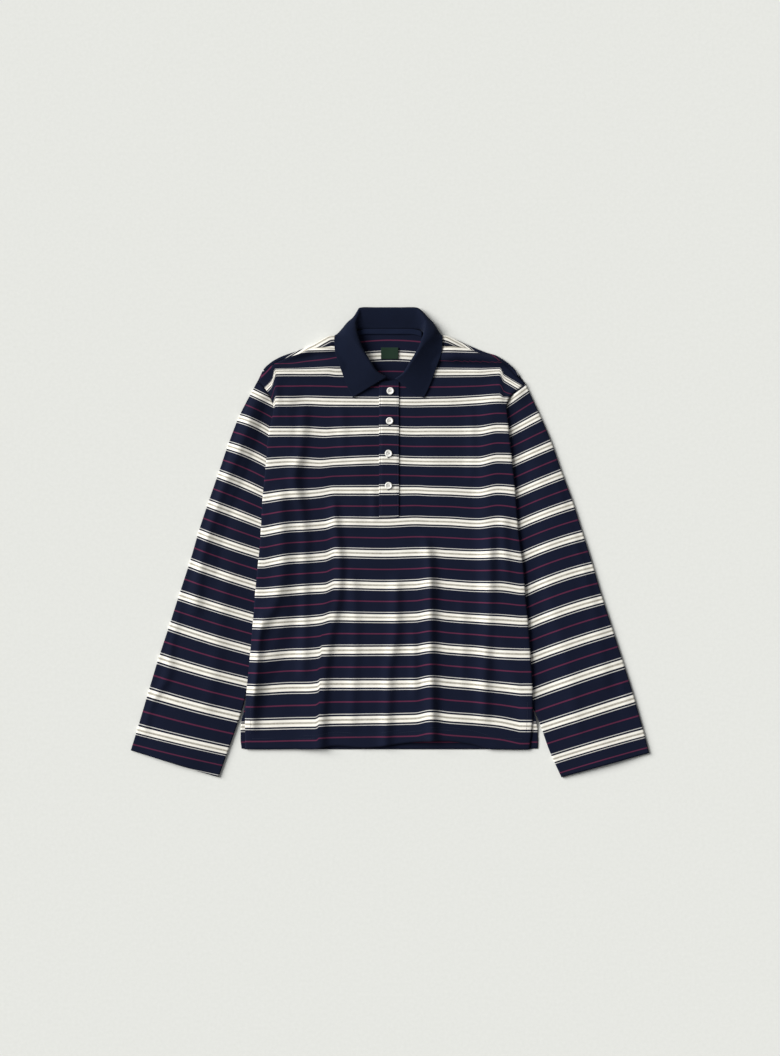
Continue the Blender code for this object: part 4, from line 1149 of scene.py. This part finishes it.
def build_buttonholes():
    """Bound buttonholes in the placket, under the buttons."""
    work = bmesh.new()
    for x, y in BUTTON_PLACES:
        top, bottom = y + 4.0, y - 6.3
        for side in (-0.75, 0.75):
            for k in range(16):
                at = top + (bottom - top) * k / 15
                z = placket_at(x, at)
                add_rod(work, (x + side * 0.4, at, z + 0.04),
                        (x + side * 1.9, at, z - 0.02), 0.3, 5)
        for at in (top + 0.6, bottom - 0.6):
            z = placket_at(x, at) + 0.04
            for k in range(4):
                row = at - 0.4 + k * 0.27
                add_rod(work, (x - 1.4, row, z), (x + 1.4, row, z), 0.24, 5)
    piece = mesh_object("buttonholes", work, thread_navy)
    return piece


def build_button(number, place):
    """A four-hole button with a raised rim, sewn on with white thread."""
    x, y = place
    base = placket_at(x, y) + 0.25
    work = bmesh.new()
    rings = []
    for r, z in BUTTON_PROFILE:
        if r == 0.0:
            rings.append([work.verts.new((0, 0, z * MM))])
        else:
            rings.append(add_ring(work, BUTTON_STEPS,
                                  lambda c, s: (r * c * MM, r * s * MM, z * MM)))
    for upper, lower in zip(rings, rings[1:]):
        for k in range(BUTTON_STEPS):
            f = (k + 1) % BUTTON_STEPS
            if len(upper) == 1:
                work.faces.new((upper[0], lower[k], lower[f]))
            elif len(lower) == 1:
                work.faces.new((upper[f], upper[k], lower[0]))
            else:
                work.faces.new((upper[f], upper[k], lower[k], lower[f]))
    bmesh.ops.recalc_face_normals(work, faces=work.faces)
    disc = mesh_object("button_disc", work, button_white)
    cutters = bmesh.new()
    for hx in (-HOLE_PLACE, HOLE_PLACE):
        for hy in (-HOLE_PLACE, HOLE_PLACE):
            made = bmesh.ops.create_cone(cutters, cap_ends=True, segments=16, depth=6 * MM,
                                         radius1=HOLE_RADIUS * MM, radius2=HOLE_RADIUS * MM)
            bmesh.ops.translate(cutters, verts=made["verts"], vec=(hx * MM, hy * MM, 0))
    holes = mesh_object("button_cutter", cutters, button_white)
    cut = disc.modifiers.new("holes", "BOOLEAN")
    cut.object = holes
    cut.operation = "DIFFERENCE"
    cut.solver = "EXACT"
    bpy.context.view_layer.update()
    cut_disc = disc.evaluated_get(bpy.context.evaluated_depsgraph_get())
    mesh = bpy.data.meshes.new_from_object(cut_disc)
    for old in (disc, holes):
        bpy.data.objects.remove(old, do_unlink=True)
    mesh.transform(Matrix.Translation((x * MM, y * MM, base * MM)))
    button = riding("shirt_button_%d" % number, mesh)
    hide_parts("button_%d" % number)
    thread = bmesh.new()
    for side in (-HOLE_PLACE, HOLE_PLACE):
        for k in (-0.26, 0.0, 0.26):
            add_rod(thread, (x + side + k, y - 1.0, base + 1.62),
                    (x + side + k, y + 1.0, base + 1.62), 0.2)
    sewing = mesh_object("button_thread_%d" % number, thread, thread_white)


def build_strip(name, node, x, y, wall, material, droop=0.0):
    """A flat strip laid on the inside of the back panel."""
    x, y = np.meshgrid(x, y)
    y = y - droop * np.clip(np.abs(x - COLLAR_MIDDLE) - 34.0, 0, None) ** 2
    lift = 0.25 * np.sin(x / 7.0) * smoothstep((y.max() - y) / 6.0)
    points = np.stack((x, y, back_bottom(x, y) + JERSEY + SEAM + wall + lift), axis=-1)
    cloth = np.stack((x, y), axis=-1)
    return cloth_piece(name, points, cloth, material, wall * 0.8, node)


front = build_front()
back = build_back()
sleeve_left = build_sleeve("sleeve_left_cloth", "sleeve_left", SLEEVE_LEFT, -1,
                           SLEEVE_LEFT_STRIPES)
sleeve_right = build_sleeve("sleeve_right_cloth", "sleeve_right", SLEEVE_RIGHT, 1,
                            SLEEVE_RIGHT_STRIPES)
collar = build_collar()
placket = build_placket()
topstitching = build_stitching()
buttonholes = build_buttonholes()
for button_number, button_place in enumerate(BUTTON_PLACES, start=1):
    build_button(button_number, button_place)
tape_half = TAPE_HALF + TAPE_RUN_ON
tape = build_strip("neck_tape_cloth", "neck_tape",
                   np.linspace(-tape_half, tape_half, 64) + COLLAR_MIDDLE,
                   np.linspace(TAPE_HIGH, TAPE_LOW, 8),
                   TAPE_CLOTH, tape_cloth, TAPE_DROOP)
label = build_strip("neck_label_cloth", "neck_label",
                    np.linspace(-LABEL_HALF, LABEL_HALF, 28) + LABEL_X,
                    np.linspace(LABEL_HIGH, LABEL_LOW, 20),
                    TAPE_CLOTH, label_cloth)

# --- Table, light and camera ------------------------------------------------

TABLE_HALF, TABLE_Z = 30, -0.0003       # in metres, just below the cloth
KEY_STRENGTH, KEY_ANGLE, KEY_COLOUR = 4.95, 42, (1.0, 0.99, 0.97)
KEY_FROM = Vector((0.78, -0.34, -0.57))
SKY_STRENGTH, SKY_COLOUR = 0.235, (0.97, 0.98, 1.0, 1.0)
LENS, SENSOR = 85.0, 36.0
PICTURE_HEIGHT = 1056
FOCUS_HEIGHT = 0.008    # the picture's scale holds at this height above the table

floor_mesh = bpy.data.meshes.new("table_top")
floor_mesh.from_pydata([(x * TABLE_HALF, y * TABLE_HALF, TABLE_Z)
                        for x, y in ((-1, -1), (1, -1), (1, 1), (-1, 1))], [], [(0, 1, 2, 3)])
floor = show(bpy.data.objects.new("table_top", floor_mesh))
floor.data.materials.append(floor_material("table_paper"))

key = show(bpy.data.objects.new("key_light", bpy.data.lights.new("key_light", "SUN")))
key.data.energy = KEY_STRENGTH
key.data.angle = math.radians(KEY_ANGLE)
key.data.color = KEY_COLOUR
key.rotation_mode = "QUATERNION"
key.rotation_quaternion = KEY_FROM.to_track_quat("-Z", "Y")

world = bpy.data.worlds.new("studio")
bpy.context.scene.world = world
world.use_nodes = True
sky = world.node_tree.nodes["Background"].inputs
sky["Color"].default_value = SKY_COLOUR
sky["Strength"].default_value = SKY_STRENGTH

camera = show(bpy.data.objects.new("camera", bpy.data.cameras.new("camera")))
camera.data.lens = LENS
camera.data.sensor_width = SENSOR
half_height = PICTURE_HEIGHT / 2 * UNIT * MM
camera.location = (0.0, (CHART_Y - PICTURE_HEIGHT / 2) * UNIT * MM,
                   FOCUS_HEIGHT + half_height * LENS / (SENSOR / 2))
bpy.context.scene.camera = camera
bpy.context.scene.view_settings.view_transform = "Standard"

bpy.context.view_layer.update()
